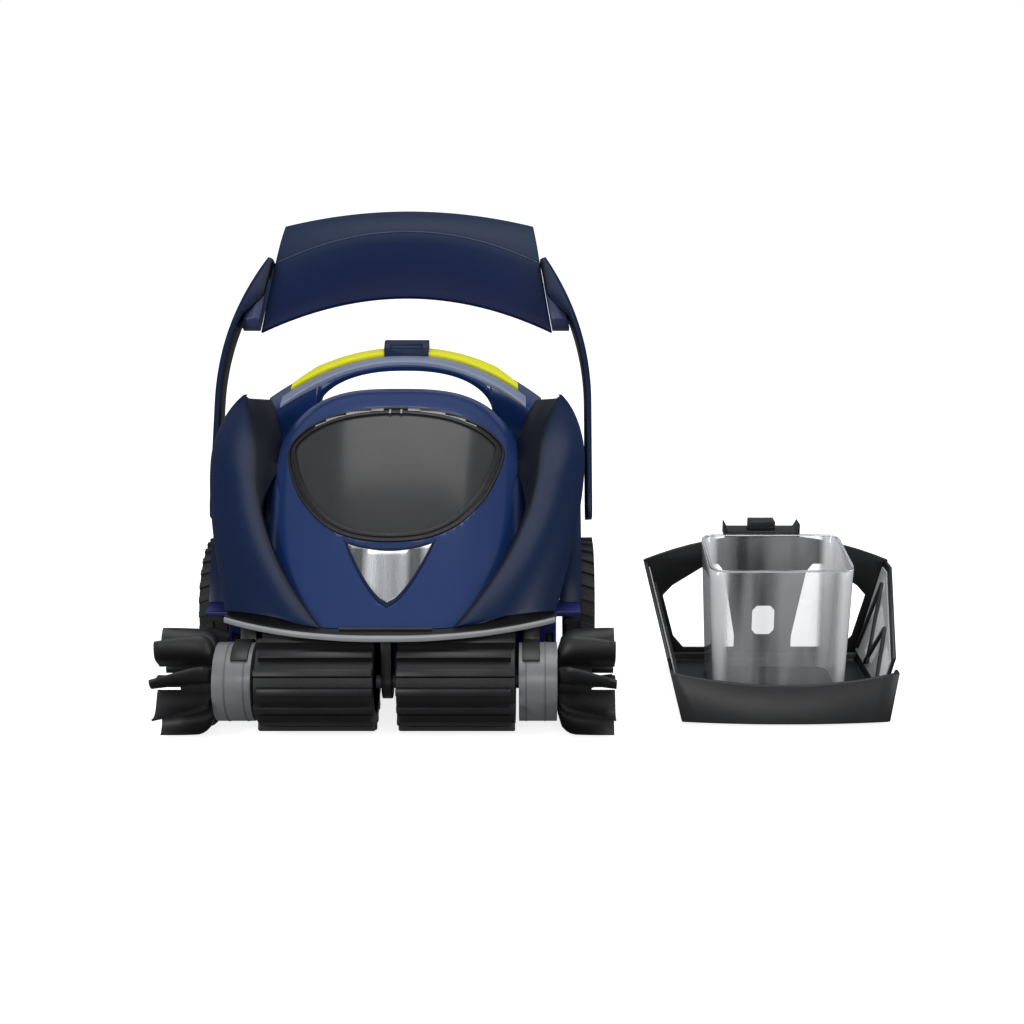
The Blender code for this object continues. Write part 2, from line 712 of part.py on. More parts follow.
def build_hoop():
    for side in (-1, 1):
        rings = []
        heights = [-0.010 + 0.250 * i / 16 for i in range(17)]
        for height in heights:
            step = 0.001
            slope = (arm_middle(height + step) - arm_middle(height - step)) / (2 * step)
            normal = Vector((1.0, -slope)).normalized() * HOOP_ARM_THICKNESS / 2
            middle = arm_middle(height)
            rear = 0.009
            front = -0.013
            if height < 0.004:
                rear = 0.007
                front = -0.009
            outer_x, outer_h = middle + normal.x, height + normal.y
            inner_x, inner_h = middle - normal.x, height - normal.y
            rings.append([hoop_point(side * inner_x, inner_h, front),
                          hoop_point(side * outer_x, outer_h, front),
                          hoop_point(side * outer_x, outer_h, rear),
                          hoop_point(side * inner_x, inner_h, rear)])
        arm = loft(side_name(side, "hoop_arm"), rings, "navy_wing")
        bore = turned("arm_bore", [(side * (HOOP_ARM_X - 0.0105), HOOP_PIN_RADIUS + GAP),
                                   (side * (HOOP_ARM_X + 0.0095), HOOP_PIN_RADIUS + GAP)],
                      "X", HOOP_PIVOT, "navy_wing", 16)
        cut(arm, bore)
        turned(side_name(side, "hoop_pin"), [(side * (PANEL_OUTER - WALL - 0.004), HOOP_PIN_RADIUS),
                                             (side * (HOOP_ARM_X + 0.0034), HOOP_PIN_RADIUS)],
               "X", HOOP_PIVOT, "steel", 20)
        build_hoop_clip(side)

    def band_row(share):
        lower = hoop_point(BAND_LOWER_HALF * share, 0.203 - 0.017 * share ** 2, 0.0115)
        crease = hoop_point(BAND_CREASE_HALF * share, 0.288 - 0.032 * share ** 2, 0.007 * share ** 2)
        back = hoop_point(BAND_TOP_HALF * share, 0.316 - 0.014 * share ** 2, 0.012 + 0.006 * share ** 2)
        front_in = Vector((0, 0.954, -0.298)) * BAND_THICKNESS
        top_in = Vector((0, 0.640, -0.768)) * BAND_THICKNESS
        both = Vector((0, 0.850, -0.640)) * BAND_THICKNESS
        return [lower, crease, back, back + top_in, crease + both, lower + front_in]

    loft("hoop_band", [band_row(2 * i / 20 - 1) for i in range(21)], "navy_gloss")


def build_hoop_clip(side):
    """Faceted block that ties an arm to the band's lower corner."""
    heights = (0.188, 0.198, 0.216, 0.226)
    rings = []
    for height in heights:
        slope = (arm_middle(height + 0.001) - arm_middle(height - 0.001)) / 0.002
        outer = arm_middle(height) - HOOP_ARM_THICKNESS / 2 * math.hypot(1.0, slope) - 2 * GAP
        inner = BAND_LOWER_HALF - (BAND_LOWER_HALF - BAND_CREASE_HALF) * (height - 0.186) / 0.070 + 2 * GAP
        front = -0.004 if 0.19 < height < 0.22 else -0.001
        rings.append([hoop_point(side * inner, height, front), hoop_point(side * outer, height, front),
                      hoop_point(side * outer, height, HOOP_CLIP_REAR),
                      hoop_point(side * inner, height, HOOP_CLIP_REAR)])
    return loft(side_name(side, "hoop_clip"), rings, "grey_inlay")


# ---------------------------------------------------------------- brushes, wheels and their drive
def build_brush(side):
    def span(near, far):
        return side * near, side * far

    a, b = span(ROLLER_INNER, ROLLER_OUTER)
    centre = (0.0, BRUSH_AXIS_Z)
    outline = []
    valley = ROLLER_RADIUS - LAMELLA_DEPTH
    pitch = 360.0 / ROLLER_LAMELLAE
    for k in range(ROLLER_LAMELLAE):
        start = k * pitch
        outline += circle(centre, valley, 1, start, pitch * 0.28)
        outline += circle(centre, ROLLER_RADIUS, 1, start + pitch * 0.34, pitch * 0.60)
    sleeve = prism(side_name(side, "roller_sleeve"), outline, "X", a, b, "black_rubber")
    bore = turned("sleeve_bore", [(a - side * 0.01, ROLLER_CORE_RADIUS + GAP),
                                  (b + side * 0.01, ROLLER_CORE_RADIUS + GAP)],
                  "X", centre, "black_rubber", 20)
    cut(sleeve, bore)
    edge = ROLLER_CORE_RADIUS
    pulley = BRUSH_PULLEY_RADIUS
    p, q = span(BELT_INNER, BELT_INNER + BELT_WIDTH)
    turned(side_name(side, "brush_core"),
           [(side * GAP, SHAFT_RADIUS), (a, SHAFT_RADIUS), (a, edge), (b, edge), (b, SHAFT_RADIUS),
            (p - side * 0.0006, SHAFT_RADIUS), (p - side * 0.0006, pulley + 0.002),
            (p, pulley), (q, pulley), (q + side * 0.0006, pulley + 0.002), (q + side * 0.0006, SHAFT_RADIUS),
            (side * (PADDLE_HUB_OUTER - 0.004), SHAFT_RADIUS)], "X", centre, "motor_grey", 20)

    build_drum(side, centre)
    build_paddle(side, centre)


def build_drum(side, centre):
    a = side * DRUM_INNER
    b = side * DRUM_OUTER
    hub = SHAFT_RADIUS + RUN
    edge = DRUM_RADIUS
    web = side * WALL
    drum = turned(side_name(side, "drum"),
                  [(a, hub), (a, edge), (b, edge), (b, hub), (b - web, hub), (b - web, edge - WALL),
                   (a + web, edge - WALL), (a + web, hub)], "X", centre, "grey_satin", 28, closed=True)
    slot_x = sorted((side * (BELT_INNER - 0.0012), side * (BELT_INNER + BELT_WIDTH + 0.0008)))
    slot = box("drum_slot", (slot_x[0], 0.015, BRUSH_AXIS_Z - 0.0145),
               (slot_x[1], 0.040, BRUSH_AXIS_Z + 0.0225), "grey_satin")
    cut(drum, slot)


def build_paddle(side, centre):
    """Curved blades on a hub; each blade leans as it runs out to its flat tip."""
    outline = []
    pitch = 360.0 / PADDLE_BLADES
    reach = PADDLE_RADIUS - PADDLE_HUB_RADIUS
    leans = ((0.0, 0.0), (0.30, 5.0), (0.67, 7.0), (1.0, 3.0))
    blade_line = [(PADDLE_HUB_RADIUS + share * reach, lean) for share, lean in leans]
    for k in range(PADDLE_BLADES):
        start = k * pitch
        for radius, lean in blade_line:
            outline += circle(centre, radius, 1, start + lean, 0.1)[:1]
        for radius, lean in reversed(blade_line):
            width = math.degrees(BLADE_THICKNESS / radius)
            outline += circle(centre, radius, 1, start + lean + width, 0.1)[:1]
        outline += circle(centre, PADDLE_HUB_RADIUS, 1, start + 0.62 * pitch, 0.1)[:1]
    paddle = prism(side_name(side, "paddle"), outline, "X", side * PADDLE_INNER, side * PADDLE_TIP,
                   "black_rubber")
    mouth_radius = PADDLE_HUB_RADIUS - 0.0025
    mouth = turned("paddle_mouth", [(side * PADDLE_HUB_OUTER, mouth_radius),
                                    (side * (PADDLE_TIP + 0.01), mouth_radius)],
                   "X", centre, "black_rubber", 16)
    bore = turned("paddle_bore", [(side * (PADDLE_INNER - 0.01), SHAFT_RADIUS + GAP),
                                  (side * (PADDLE_HUB_OUTER + 0.01), SHAFT_RADIUS + GAP)],
                  "X", centre, "black_rubber", 16)
    return cut(paddle, mouth, bore)


def build_centre_bearing():
    centre = (0.0, BRUSH_AXIS_Z)
    ring = circle(centre, 0.015, 18, 150, 240)
    outline = [(0.012, PAN_TOP), (-0.012, PAN_TOP)] + ring
    bearing = prism("centre_bearing", outline, "X", -0.0045, 0.0045, "black_plastic")
    bore = turned("bearing_bore", [(-0.01, SHAFT_RADIUS + RUN), (0.01, SHAFT_RADIUS + RUN)], "X",
                  centre, "black_plastic", 16)
    cut(bearing, bore)


def gear_outline(centre, teeth, start):
    """Spur gear drawn with four points a tooth, thinned for backlash."""
    pitch_radius = GEAR_MODULE * teeth / 2
    tip = pitch_radius + 0.85 * GEAR_MODULE
    root = pitch_radius - 1.15 * GEAR_MODULE
    pitch = 360.0 / teeth
    outline = []
    for k in range(teeth):
        middle = start + k * pitch
        for radius, share in ((root, -0.30), (tip, -0.11), (tip, 0.11), (root, 0.30)):
            outline += circle(centre, radius, 1, middle + share * pitch, 0.1)[:1]
    return outline


def build_drive(side):
    centre = WHEEL_AXIS
    tyre_in = WHEEL_RIM_RADIUS + GAP
    a = side * WHEEL_INNER
    b = side * WHEEL_OUTER
    bevel = side * 0.004
    turned(side_name(side, "tyre"),
           [(a, tyre_in), (a, WHEEL_RADIUS - 0.003), (a + bevel, WHEEL_RADIUS), (b - bevel, WHEEL_RADIUS),
            (b, WHEEL_RADIUS - 0.003), (b, tyre_in)], "X", centre, "tyre_rubber", 28, closed=True)
    bore = AXLE_RADIUS + GAP
    rim = WHEEL_RIM_RADIUS
    turned(side_name(side, "wheel_hub"),
           [(a, bore), (a, 0.014), (a + side * 0.010, 0.016), (a + side * 0.010, rim - WALL),
            (a, rim - WALL), (a, rim), (b - side * 0.001, rim), (b - side * 0.001, rim - WALL),
            (a + side * 0.016, rim - 0.006), (a + side * 0.016, 0.018), (b - side * 0.006, 0.012),
            (b - side * 0.006, bore)],
           "X", centre, "motor_grey", 28, closed=True)
    pulley = AXLE_PULLEY_RADIUS
    p = side * BELT_INNER
    q = side * (BELT_INNER + BELT_WIDTH)
    rim_step = side * 0.0006
    axle = turned(side_name(side, "wheel_axle"),
                  [(side * (GEAR_INNER - 0.002), AXLE_RADIUS), (p - rim_step, AXLE_RADIUS),
                   (p - rim_step, pulley + 0.002), (p, pulley), (q, pulley), (q + rim_step, pulley + 0.002),
                   (q + rim_step, AXLE_RADIUS), (side * (WHEEL_OUTER - 0.007), AXLE_RADIUS)],
                  "X", centre, "steel", 16)

    gear_low, gear_high = sorted((side * GEAR_INNER, side * (GEAR_INNER + GEAR_WIDTH)))
    weld(axle, prism("drive_gear", gear_outline(centre, GEAR_TEETH, 0.0), "X", gear_low, gear_high, "steel"))
    distance = GEAR_MODULE * (GEAR_TEETH + PINION_TEETH) / 2
    pinion_centre = (centre[0] + distance, centre[1])
    half_pitch = 180.0 / PINION_TEETH
    prism(side_name(side, "motor_pinion"),
          gear_outline(pinion_centre, PINION_TEETH, 180.0 + half_pitch),
          "X", gear_low, gear_high, "steel")
    low, high = sorted((side * (BAY_HALF_WIDTH + 0.0005), side * (GEAR_INNER - GAP)))
    turned(side_name(side, "drive_motor"), [(low, 0.022), (high, 0.022)], "X",
           pinion_centre, "motor_grey", 24)
    build_belt(side)


def build_belt(side):
    """Belt round the axle pulley and the brush pulley: two arcs and two straight runs."""
    dy = WHEEL_AXIS[0]
    dz = WHEEL_AXIS[1] - BRUSH_AXIS_Z
    lean = math.degrees(math.atan2(dz, dy))
    open_angle = math.degrees(math.asin((AXLE_PULLEY_RADIUS - BRUSH_PULLEY_RADIUS) / math.hypot(dy, dz)))

    def loop(extra):
        rear = circle(WHEEL_AXIS, AXLE_PULLEY_RADIUS + extra, 14,
                      lean - 90 - open_angle, 180 + 2 * open_angle)
        front = circle((0.0, BRUSH_AXIS_Z), BRUSH_PULLEY_RADIUS + extra, 12,
                       lean + 90 + open_angle, 180 - 2 * open_angle)
        return rear + front

    outer = loop(GAP + BELT_THICKNESS)
    inner = loop(GAP)
    low = side * (BELT_INNER + GAP)
    high = side * (BELT_INNER + BELT_WIDTH - GAP)
    rings = [[Vector((low, y, z)) for y, z in outer], [Vector((high, y, z)) for y, z in outer],
             [Vector((high, y, z)) for y, z in inner], [Vector((low, y, z)) for y, z in inner]]
    loft(side_name(side, "drive_belt"), rings, "black_rubber", closed=True)


# ---------------------------------------------------------------- canister bay, inlet and pump
def build_bay():
    front = PAN_FRONT + WALL + GAP
    floor = PAN_BOTTOM + WALL + GAP
    bay = box("canister_bay", (-BAY_HALF_WIDTH, front, floor), (BAY_HALF_WIDTH, BAY_REAR, BAY_TOP),
              "black_plastic")
    hollow = box("bay_hollow", (-BAY_HALF_WIDTH + BAY_WALL, front + BAY_WALL, floor + BAY_WALL),
                 (BAY_HALF_WIDTH - BAY_WALL, BAY_REAR - BAY_WALL, BAY_TOP + 0.01), "black_plastic")
    inlet = box("bay_inlet", (-INLET_HALF_WIDTH, INLET_FRONT, floor - 0.01),
                (INLET_HALF_WIDTH, INLET_FRONT + INLET_DEPTH, floor + 0.01), "black_plastic")
    plate_notch = box("plate_notch", (-PLATE_HALF_WIDTH - 0.01, front - 0.01, PAN_TOP - GAP),
                      (PLATE_HALF_WIDTH + 0.01, front + GAP, PAN_TOP + PLATE_THICKNESS + 0.001),
                      "black_plastic")
    cut(bay, hollow, inlet, plate_notch)
    top = floor + BAY_WALL + GAP
    box("inlet_flap", (-INLET_HALF_WIDTH - 0.004, INLET_FRONT - 0.004, top),
        (INLET_HALF_WIDTH + 0.004, INLET_FRONT + INLET_DEPTH + 0.006, top + 0.002), "black_rubber")


def build_pump():
    floor = PAN_BOTTOM + WALL + GAP
    centre = (0.0, PUMP_CENTRE_Y)
    radius = PUMP_RADIUS
    inside = radius - WALL
    base = floor + 0.060
    boss = base + 0.020
    pin = IMPELLER_PIN_RADIUS
    turned("pump_case", [(floor, radius), (PUMP_TOP, radius), (PUMP_TOP, inside), (base, inside),
                         (base, 0.020), (boss, 0.020), (boss, pin), (boss + 0.014, pin)],
           "Z", centre, "motor_grey", 20)
    low = boss + GAP
    hub = 0.008
    impeller = turned("impeller", [(low, pin + GAP), (low, hub), (low + 0.014, hub),
                                   (low + 0.014, pin + GAP)], "Z", centre, "light_grey", 24, closed=True)
    blades = []
    for k in range(4):
        angle = math.pi / 2 * k
        along = Vector((math.cos(angle), math.sin(angle), 0))
        across = Vector((-math.sin(angle), math.cos(angle), 0))
        base = Vector((centre[0], centre[1], 0))
        rings = []
        for radius_here, chord, tilt in ((0.006, 0.004, 0.004), (IMPELLER_RADIUS, 0.009, 0.003)):
            middle = base + along * radius_here + Vector((0, 0, low + 0.007))
            slant = across * chord + Vector((0, 0, tilt))
            thick = Vector((0, 0, 0.0009)) - across * 0.0004
            rings.append([middle - slant - thick, middle + slant - thick, middle + slant + thick,
                          middle - slant + thick])
        blades.append(loft("impeller_blade", rings, "light_grey"))
    weld(impeller, *blades)


def build_cable_gland():
    """Blanked inlet for the supply cable, low on the rear wall of the pan."""
    turned("cable_gland", [(PAN_REAR + GAP, 0.011), (PAN_REAR + 0.010, 0.009), (PAN_REAR + 0.016, 0.007),
                           (PAN_REAR + 0.016, 0.004), (PAN_REAR + 0.004, 0.004)], "Y", (0.080, 0.062),
           "black_rubber", 20)


# ---------------------------------------------------------------- filter canister, standing beside
def can_half(z):
    """Half width of the canister, which flares as it rises."""
    return CAN_BASE_HALF + (CAN_TOP_HALF - CAN_BASE_HALF) * (z - CAN_FOOT) / (CAN_SIDE_TOP - CAN_FOOT)


def can_front(z):
    return CAN_FRONT + 0.40 * (z - CAN_FOOT)


def shear_sides(piece, side):
    """Lean a flat side piece outwards to follow the canister's flare."""
    for vertex in piece.data.vertices:
        vertex.co.x += side * (can_half(vertex.co.z) - CAN_BASE_HALF)
    piece.data.update()


def build_tray():
    back = CAN_BACK - 0.005
    bottom = CAN_FOOT
    rim = CAN_RIM_Z

    def ring(z, inset, dish):
        half = can_half(z) - inset
        front = can_front(z) + inset
        rear = back - inset
        points = [Vector((CAN_X - half, rear, z)), Vector((CAN_X + half, rear, z))]
        steps = 12
        for k in range(steps + 1):
            share = 1 - 2 * k / steps
            height = z - dish * (1 - share * share)
            points.append(Vector((CAN_X + half * share, front - 0.006 * (1 - share * share), height)))
        return points

    tray = loft("canister_tray", [ring(bottom, 0.0, 0.0), ring(rim, 0.0, 0.010), ring(rim, CAN_WALL, 0.010),
                                  ring(bottom + CAN_WALL, CAN_WALL, 0.0)], "black_plastic")
    lowered = [(back + 0.01, TRAY_SIDE_TOP), (can_front(rim) + 0.020, TRAY_SIDE_TOP),
               (can_front(rim) + 0.006, rim + 0.01), (back + 0.01, rim + 0.01)]
    drop = prism("tray_drop", lowered, "X", CAN_X - 0.14, CAN_X + 0.14, "black_plastic")
    cut(tray, drop)
    foot = box("tray_foot", (CAN_X - CAN_FOOT_HALF, CAN_FRONT + 0.010, 0.0),
               (CAN_X + CAN_FOOT_HALF, back - 0.010, CAN_FOOT + 0.001), "black_plastic")
    return weld(tray, foot)


def build_back_wall():
    thick = 0.0035
    y_low = CAN_BACK - 0.005 + GAP
    bottom = 0.004
    outline = [(CAN_X - can_half(bottom), bottom), (CAN_X + can_half(bottom), bottom)]
    steps = 16
    for k in range(steps + 1):
        share = 1 - 2 * k / steps
        rise = CAN_ARCH_TOP - CAN_SIDE_TOP
        outline.append((CAN_X + CAN_TOP_HALF * share, CAN_SIDE_TOP + rise * (1 - share * share)))
    wall = prism("canister_back", outline, "Y", y_low, y_low + thick, "black_plastic")
    tools = []
    for side in (-1, 1):
        window = [(0.028, 0.018), (0.078, 0.018), (0.088, 0.030), (0.099, 0.072), (0.090, 0.082),
                  (0.056, 0.104), (0.046, 0.104), (0.040, 0.096), (0.028, 0.030)]
        points = [(CAN_X + side * a, b) for a, b in window]
        tools.append(prism("back_window", points, "Y", y_low - 0.01, y_low + 0.02, "black_plastic"))
    corners = ((-0.011, -0.010), (-0.0066, -0.015), (0.0066, -0.015), (0.011, -0.010),
               (0.011, 0.010), (0.0066, 0.015), (-0.0066, 0.015), (-0.011, 0.010))
    oval = [(CAN_X + a, 0.046 + b) for a, b in corners]
    tools.append(prism("back_oval", oval, "Y", y_low - 0.01, y_low + 0.02, "black_plastic"))
    return cut(wall, *tools)


def build_side_frame(side):
    """Slanted side frame: a sloping top rail, an upright at each end and V ribs between."""
    back = CAN_BACK - 0.005 - GAP
    front = can_front(CAN_RIM_Z) + 0.0215
    low = TRAY_SIDE_TOP + 2 * GAP
    outline = [(front, low), (back, low), (back, CAN_SIDE_TOP - 0.001),
               (back - 0.020, CAN_SIDE_TOP - 0.001), (front, CAN_RIM_Z + 0.006)]
    inner = side * (CAN_BASE_HALF - CAN_WALL - 0.0005)
    outer = side * (CAN_BASE_HALF - 0.0005)
    frame = prism(side_name(side, "canister_side"), outline, "X", CAN_X + inner, CAN_X + outer,
                  "black_plastic")
    bar = 0.006
    span = back - front
    holes = [[(front + bar, low + bar), (front + 0.42 * span, low + bar), (front + 0.30 * span, 0.054),
              (front + bar, CAN_RIM_Z - 0.001)],
             [(front + 0.50 * span, low + bar), (back - bar - 0.012, low + bar), (front + 0.78 * span, 0.080),
              (front + 0.38 * span, 0.058)],
             [(back - bar, low + bar + 0.004), (back - bar, CAN_SIDE_TOP - 0.012),
              (back - 0.020, CAN_SIDE_TOP - 0.012), (back - 0.028, CAN_SIDE_TOP - 0.018)]]
    tools = [prism("side_hole", hole, "X", CAN_X + side * 0.07, CAN_X + side * 0.11, "black_plastic")
             for hole in holes]
    cut(frame, *tools)
    shear_sides(frame, side)
    panel_outer = inner - side * GAP
    panel_inner = panel_outer - side * PANEL_THICKNESS
    inset = 0.002
    panel_line = [(front + inset, low + inset), (back - inset, low + inset),
                  (back - inset, CAN_SIDE_TOP - 0.006), (back - 0.020, CAN_SIDE_TOP - 0.006),
                  (front + inset, CAN_RIM_Z + 0.002)]
    panel = prism(side_name(side, "filter_panel"), panel_line, "X", CAN_X + panel_inner, CAN_X + panel_outer,
                  "filter_mesh")
    shear_sides(panel, side)


def build_duct():
    floor = CAN_FOOT + CAN_WALL + GAP

    def ring(half, near, far, z, inset, tilt):
        points = []
        corner = 0.022
        arcs = ((half - corner, far - corner, 0), (-half + corner, far - corner, 90),
                (-half + corner, near + corner, 180), (half - corner, near + corner, 270))
        for cx, cy, start in arcs:
            for x, y in circle((cx, cy), corner - inset, 5, start, 90):
                points.append(Vector((CAN_X + x, y, z + tilt * (y - near))))
        return points

    low = dict(half=DUCT_HALF_WIDTH - 0.006, near=0.048, far=0.145)
    high = dict(half=DUCT_HALF_WIDTH, near=0.060, far=0.152)
    top = DUCT_TOP_Z - 0.006
    rings = [ring(z=floor, inset=0.0, tilt=0.0, **low), ring(z=top, inset=0.0, tilt=0.10, **high),
             ring(z=top, inset=DUCT_WALL, tilt=0.10, **high),
             ring(z=floor, inset=DUCT_WALL, tilt=0.0, **low)]
    loft("canister_duct", rings, "clear_duct", closed=True)


def build_can_bracket():
    base = CAN_ARCH_TOP + GAP
    y_low = CAN_BACK - 0.016
    y_high = CAN_BACK + 0.006
    left = CAN_X - BRACKET_LEFT
    right = CAN_X + BRACKET_RIGHT
    seat = base + BRACKET_SEAT
    ear = base + 2 * BRACKET_SEAT
    outline = [(left, base), (right, base), (right, ear), (right - 0.004, seat), (left + 0.004, seat),
               (left, ear)]
    prism("canister_bracket", outline, "Y", y_low, y_high, "black_plastic")
    middle = (left + right) / 2
    tab_low = seat + GAP
    box("canister_tab", (middle - CAN_TAB_HALF, y_low + 0.003, tab_low),
        (middle + CAN_TAB_HALF, y_high - 0.003, tab_low + CAN_TAB_HEIGHT), "black_plastic")


def centre_on_floor():
    """Move everything so that the middle of the footprint is the origin."""
    corners = []
    for piece in bpy.context.scene.objects:
        corners += [piece.matrix_world @ Vector(corner) for corner in piece.bound_box]
    middle_x = (min(c.x for c in corners) + max(c.x for c in corners)) / 2
    middle_y = (min(c.y for c in corners) + max(c.y for c in corners)) / 2
    lowest = min(c.z for c in corners)
    offset = Vector((-middle_x, -middle_y, -lowest))
    for piece in bpy.context.scene.objects:
        piece.location += offset
    print("origin in the working frame:", [round(value, 6) for value in -offset])


def main():
    clear_scene()
    build_pan()
    build_bumper()
    build_rear_shell()
    build_cover()
    build_handle()
    build_hoop()
    build_centre_bearing()
    for side in (-1, 1):
        build_side_panel(side)
        build_brush(side)
        build_drive(side)
    build_bay()
    build_pump()
    build_cable_gland()
    build_tray()
    build_back_wall()
    for side in (-1, 1):
        build_side_frame(side)
    build_duct()
    build_can_bracket()
    centre_on_floor()


main()
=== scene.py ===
# %% [markdown]
# # A robotic pool cleaner and its filter canister
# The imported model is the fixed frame: it says where every piece is.  Each visible piece is either
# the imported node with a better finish, a softened copy of it, or a finer piece that stands for it.

# %% Load the frame
import json
import math
import bmesh
import bpy
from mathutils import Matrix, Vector
from mathutils.bvhtree import BVHTree


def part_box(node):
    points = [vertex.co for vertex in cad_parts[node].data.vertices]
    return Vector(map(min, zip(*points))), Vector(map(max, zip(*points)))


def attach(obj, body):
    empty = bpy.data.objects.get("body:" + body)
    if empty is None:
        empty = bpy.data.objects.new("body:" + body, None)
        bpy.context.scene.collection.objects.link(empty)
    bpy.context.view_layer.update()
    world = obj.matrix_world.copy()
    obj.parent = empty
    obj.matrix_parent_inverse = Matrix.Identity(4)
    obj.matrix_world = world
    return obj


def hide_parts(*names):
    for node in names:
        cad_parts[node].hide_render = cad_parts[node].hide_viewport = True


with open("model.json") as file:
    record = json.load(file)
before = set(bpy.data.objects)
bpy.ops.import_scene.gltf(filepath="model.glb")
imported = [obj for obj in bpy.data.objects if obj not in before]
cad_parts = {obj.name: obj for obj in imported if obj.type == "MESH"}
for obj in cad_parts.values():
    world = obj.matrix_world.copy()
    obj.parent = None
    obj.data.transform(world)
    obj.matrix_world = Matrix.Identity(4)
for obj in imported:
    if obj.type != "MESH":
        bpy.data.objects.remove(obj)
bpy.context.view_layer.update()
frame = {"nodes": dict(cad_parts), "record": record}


def middle(node):
    low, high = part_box(node)
    return (Vector(low) + Vector(high)) / 2


# The cleaner's plane of symmetry and its brush axis give the working zero that the shapes use.
ZERO = Vector((middle("centre_bearing").x, middle("left_drum").y, 0.0))
BRUSH_Z = middle("left_drum").z
CAN_X = middle("canister_duct").x - ZERO.x
PLATE_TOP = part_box("bumper_plate")[1][2]
SIDES = {"left": -1, "right": 1}
BODY_OF = {node: body for body, nodes in frame["record"]["behaviour"]["bodies"].items() for node in nodes}
SLOT_OF = {part["node"]: part["material_slot"] for part in frame["record"]["subparts"]}
print("working zero", tuple(round(v, 4) for v in ZERO), "canister at", round(CAN_X, 4))

# %% [markdown]
# ## Camera, light and floor
# The camera stands a little to the right of the cleaner and looks slightly down, so the canister
# fits beside it.  Large soft panels give the long, calm reflections of a product studio.

# %% Camera and studio
CAMERA_PLACE = Vector((0.1289, -1.25, 0.5356))
CAMERA_TILT = math.radians(75)
CAMERA_LENS = 53.47
CAMERA_SHIFT = -0.0225


def make_camera():
    data = bpy.data.cameras.new("camera")
    data.lens = CAMERA_LENS
    data.sensor_width = 36.0
    data.shift_x = CAMERA_SHIFT
    camera = bpy.data.objects.new("camera", data)
    camera.location = CAMERA_PLACE + ZERO
    camera.rotation_euler = (CAMERA_TILT, 0.0, 0.0)
    bpy.context.scene.collection.objects.link(camera)
    bpy.context.scene.camera = camera


def soft_panel(name, place, aim, size, power):
    data = bpy.data.lights.new(name, "AREA")
    data.shape = "RECTANGLE"
    data.size, data.size_y = size
    data.energy = power
    lamp = bpy.data.objects.new(name, data)
    lamp.location = place
    lamp.rotation_euler = (Vector(aim) - Vector(place)).to_track_quat("-Z", "Y").to_euler()
    bpy.context.scene.collection.objects.link(lamp)


def make_world():
    """Plain white to look at, and a dim, slowly graded sky for the light it gives."""
    world = bpy.data.worlds.new("studio")
    world.use_nodes = True
    tree = world.node_tree
    plain = tree.nodes["Background"]
    plain.inputs["Color"].default_value = (1.0, 1.0, 1.0, 1.0)
    sky = tree.nodes.new("ShaderNodeBackground")
    sky.inputs["Color"].default_value = (0.93, 0.96, 1.0, 1.0)
    place = tree.nodes.new("ShaderNodeTexCoord")
    height = tree.nodes.new("ShaderNodeSeparateXYZ")
    grade = tree.nodes.new("ShaderNodeMapRange")
    grade.inputs["From Min"].default_value = -0.2
    grade.inputs["From Max"].default_value = 0.9
    grade.inputs["To Min"].default_value = 0.16
    grade.inputs["To Max"].default_value = 0.42
    tree.links.new(place.outputs["Generated"], height.inputs["Vector"])
    tree.links.new(height.outputs["Z"], grade.inputs["Value"])
    tree.links.new(grade.outputs["Result"], sky.inputs["Strength"])
    ray = tree.nodes.new("ShaderNodeLightPath")
    mix = tree.nodes.new("ShaderNodeMixShader")
    tree.links.new(ray.outputs["Is Camera Ray"], mix.inputs["Fac"])
    tree.links.new(sky.outputs["Background"], mix.inputs[1])
    tree.links.new(plain.outputs["Background"], mix.inputs[2])
    tree.links.new(mix.outputs["Shader"], tree.nodes["World Output"].inputs["Surface"])
    bpy.context.scene.world = world


def make_studio():
    soft_panel("top_panel", (0.0, -0.2, 1.9), (0.0, 0.0, 0.1), (1.6, 1.2), 15)
    soft_panel("left_panel", (-1.25, -1.15, 0.50), (-0.1, 0.0, 0.15), (0.22, 0.50), 7)
    soft_panel("right_panel", (1.8, -0.9, 0.7), (0.1, 0.0, 0.2), (0.35, 1.0), 9)
    soft_panel("front_panel", (0.1, -2.4, 1.3), (0.1, 0.0, 0.15), (1.4, 0.6), 11)
    make_world()
    bpy.context.scene.view_settings.view_transform = "Standard"


make_camera()
make_studio()

# %% [markdown]
# ## Finishes
# Three small node groups carry what every moulded surface shares: fine moulding grain, a slow
# drift of tone, and paler edges where handling has rubbed the corners.

# %% Shared shader groups
def new_group(name, inputs, outputs):
    group = bpy.data.node_groups.new(name, "ShaderNodeTree")
    for label, kind, value in inputs:
        made = group.interface.new_socket(name=label, in_out="INPUT", socket_type=kind)
        if value is not None:
            made.default_value = value
    for label, kind in outputs:
        group.interface.new_socket(name=label, in_out="OUTPUT", socket_type=kind)
    return group, group.nodes.new("NodeGroupInput"), group.nodes.new("NodeGroupOutput")


def maths(tree, operation, *values):
    """Math node fed with numbers or sockets; returns its result."""
    node = tree.nodes.new("ShaderNodeMath")
    node.operation = operation
    for socket, value in zip(node.inputs, values):
        if isinstance(value, (int, float)):
            socket.default_value = value
        else:
            tree.links.new(value, socket)
    return node.outputs[0]


def graded(tree, value, from_range=(0.0, 1.0), to_range=(0.0, 1.0)):
    """Map a value from one range to another, held at both ends."""
    node = tree.nodes.new("ShaderNodeMapRange")
    for label, limits in (("From", from_range), ("To", to_range)):
        node.inputs[label + " Min"].default_value = limits[0]
        node.inputs[label + " Max"].default_value = limits[1]
    tree.links.new(value, node.inputs["Value"])
    return node.outputs["Result"]


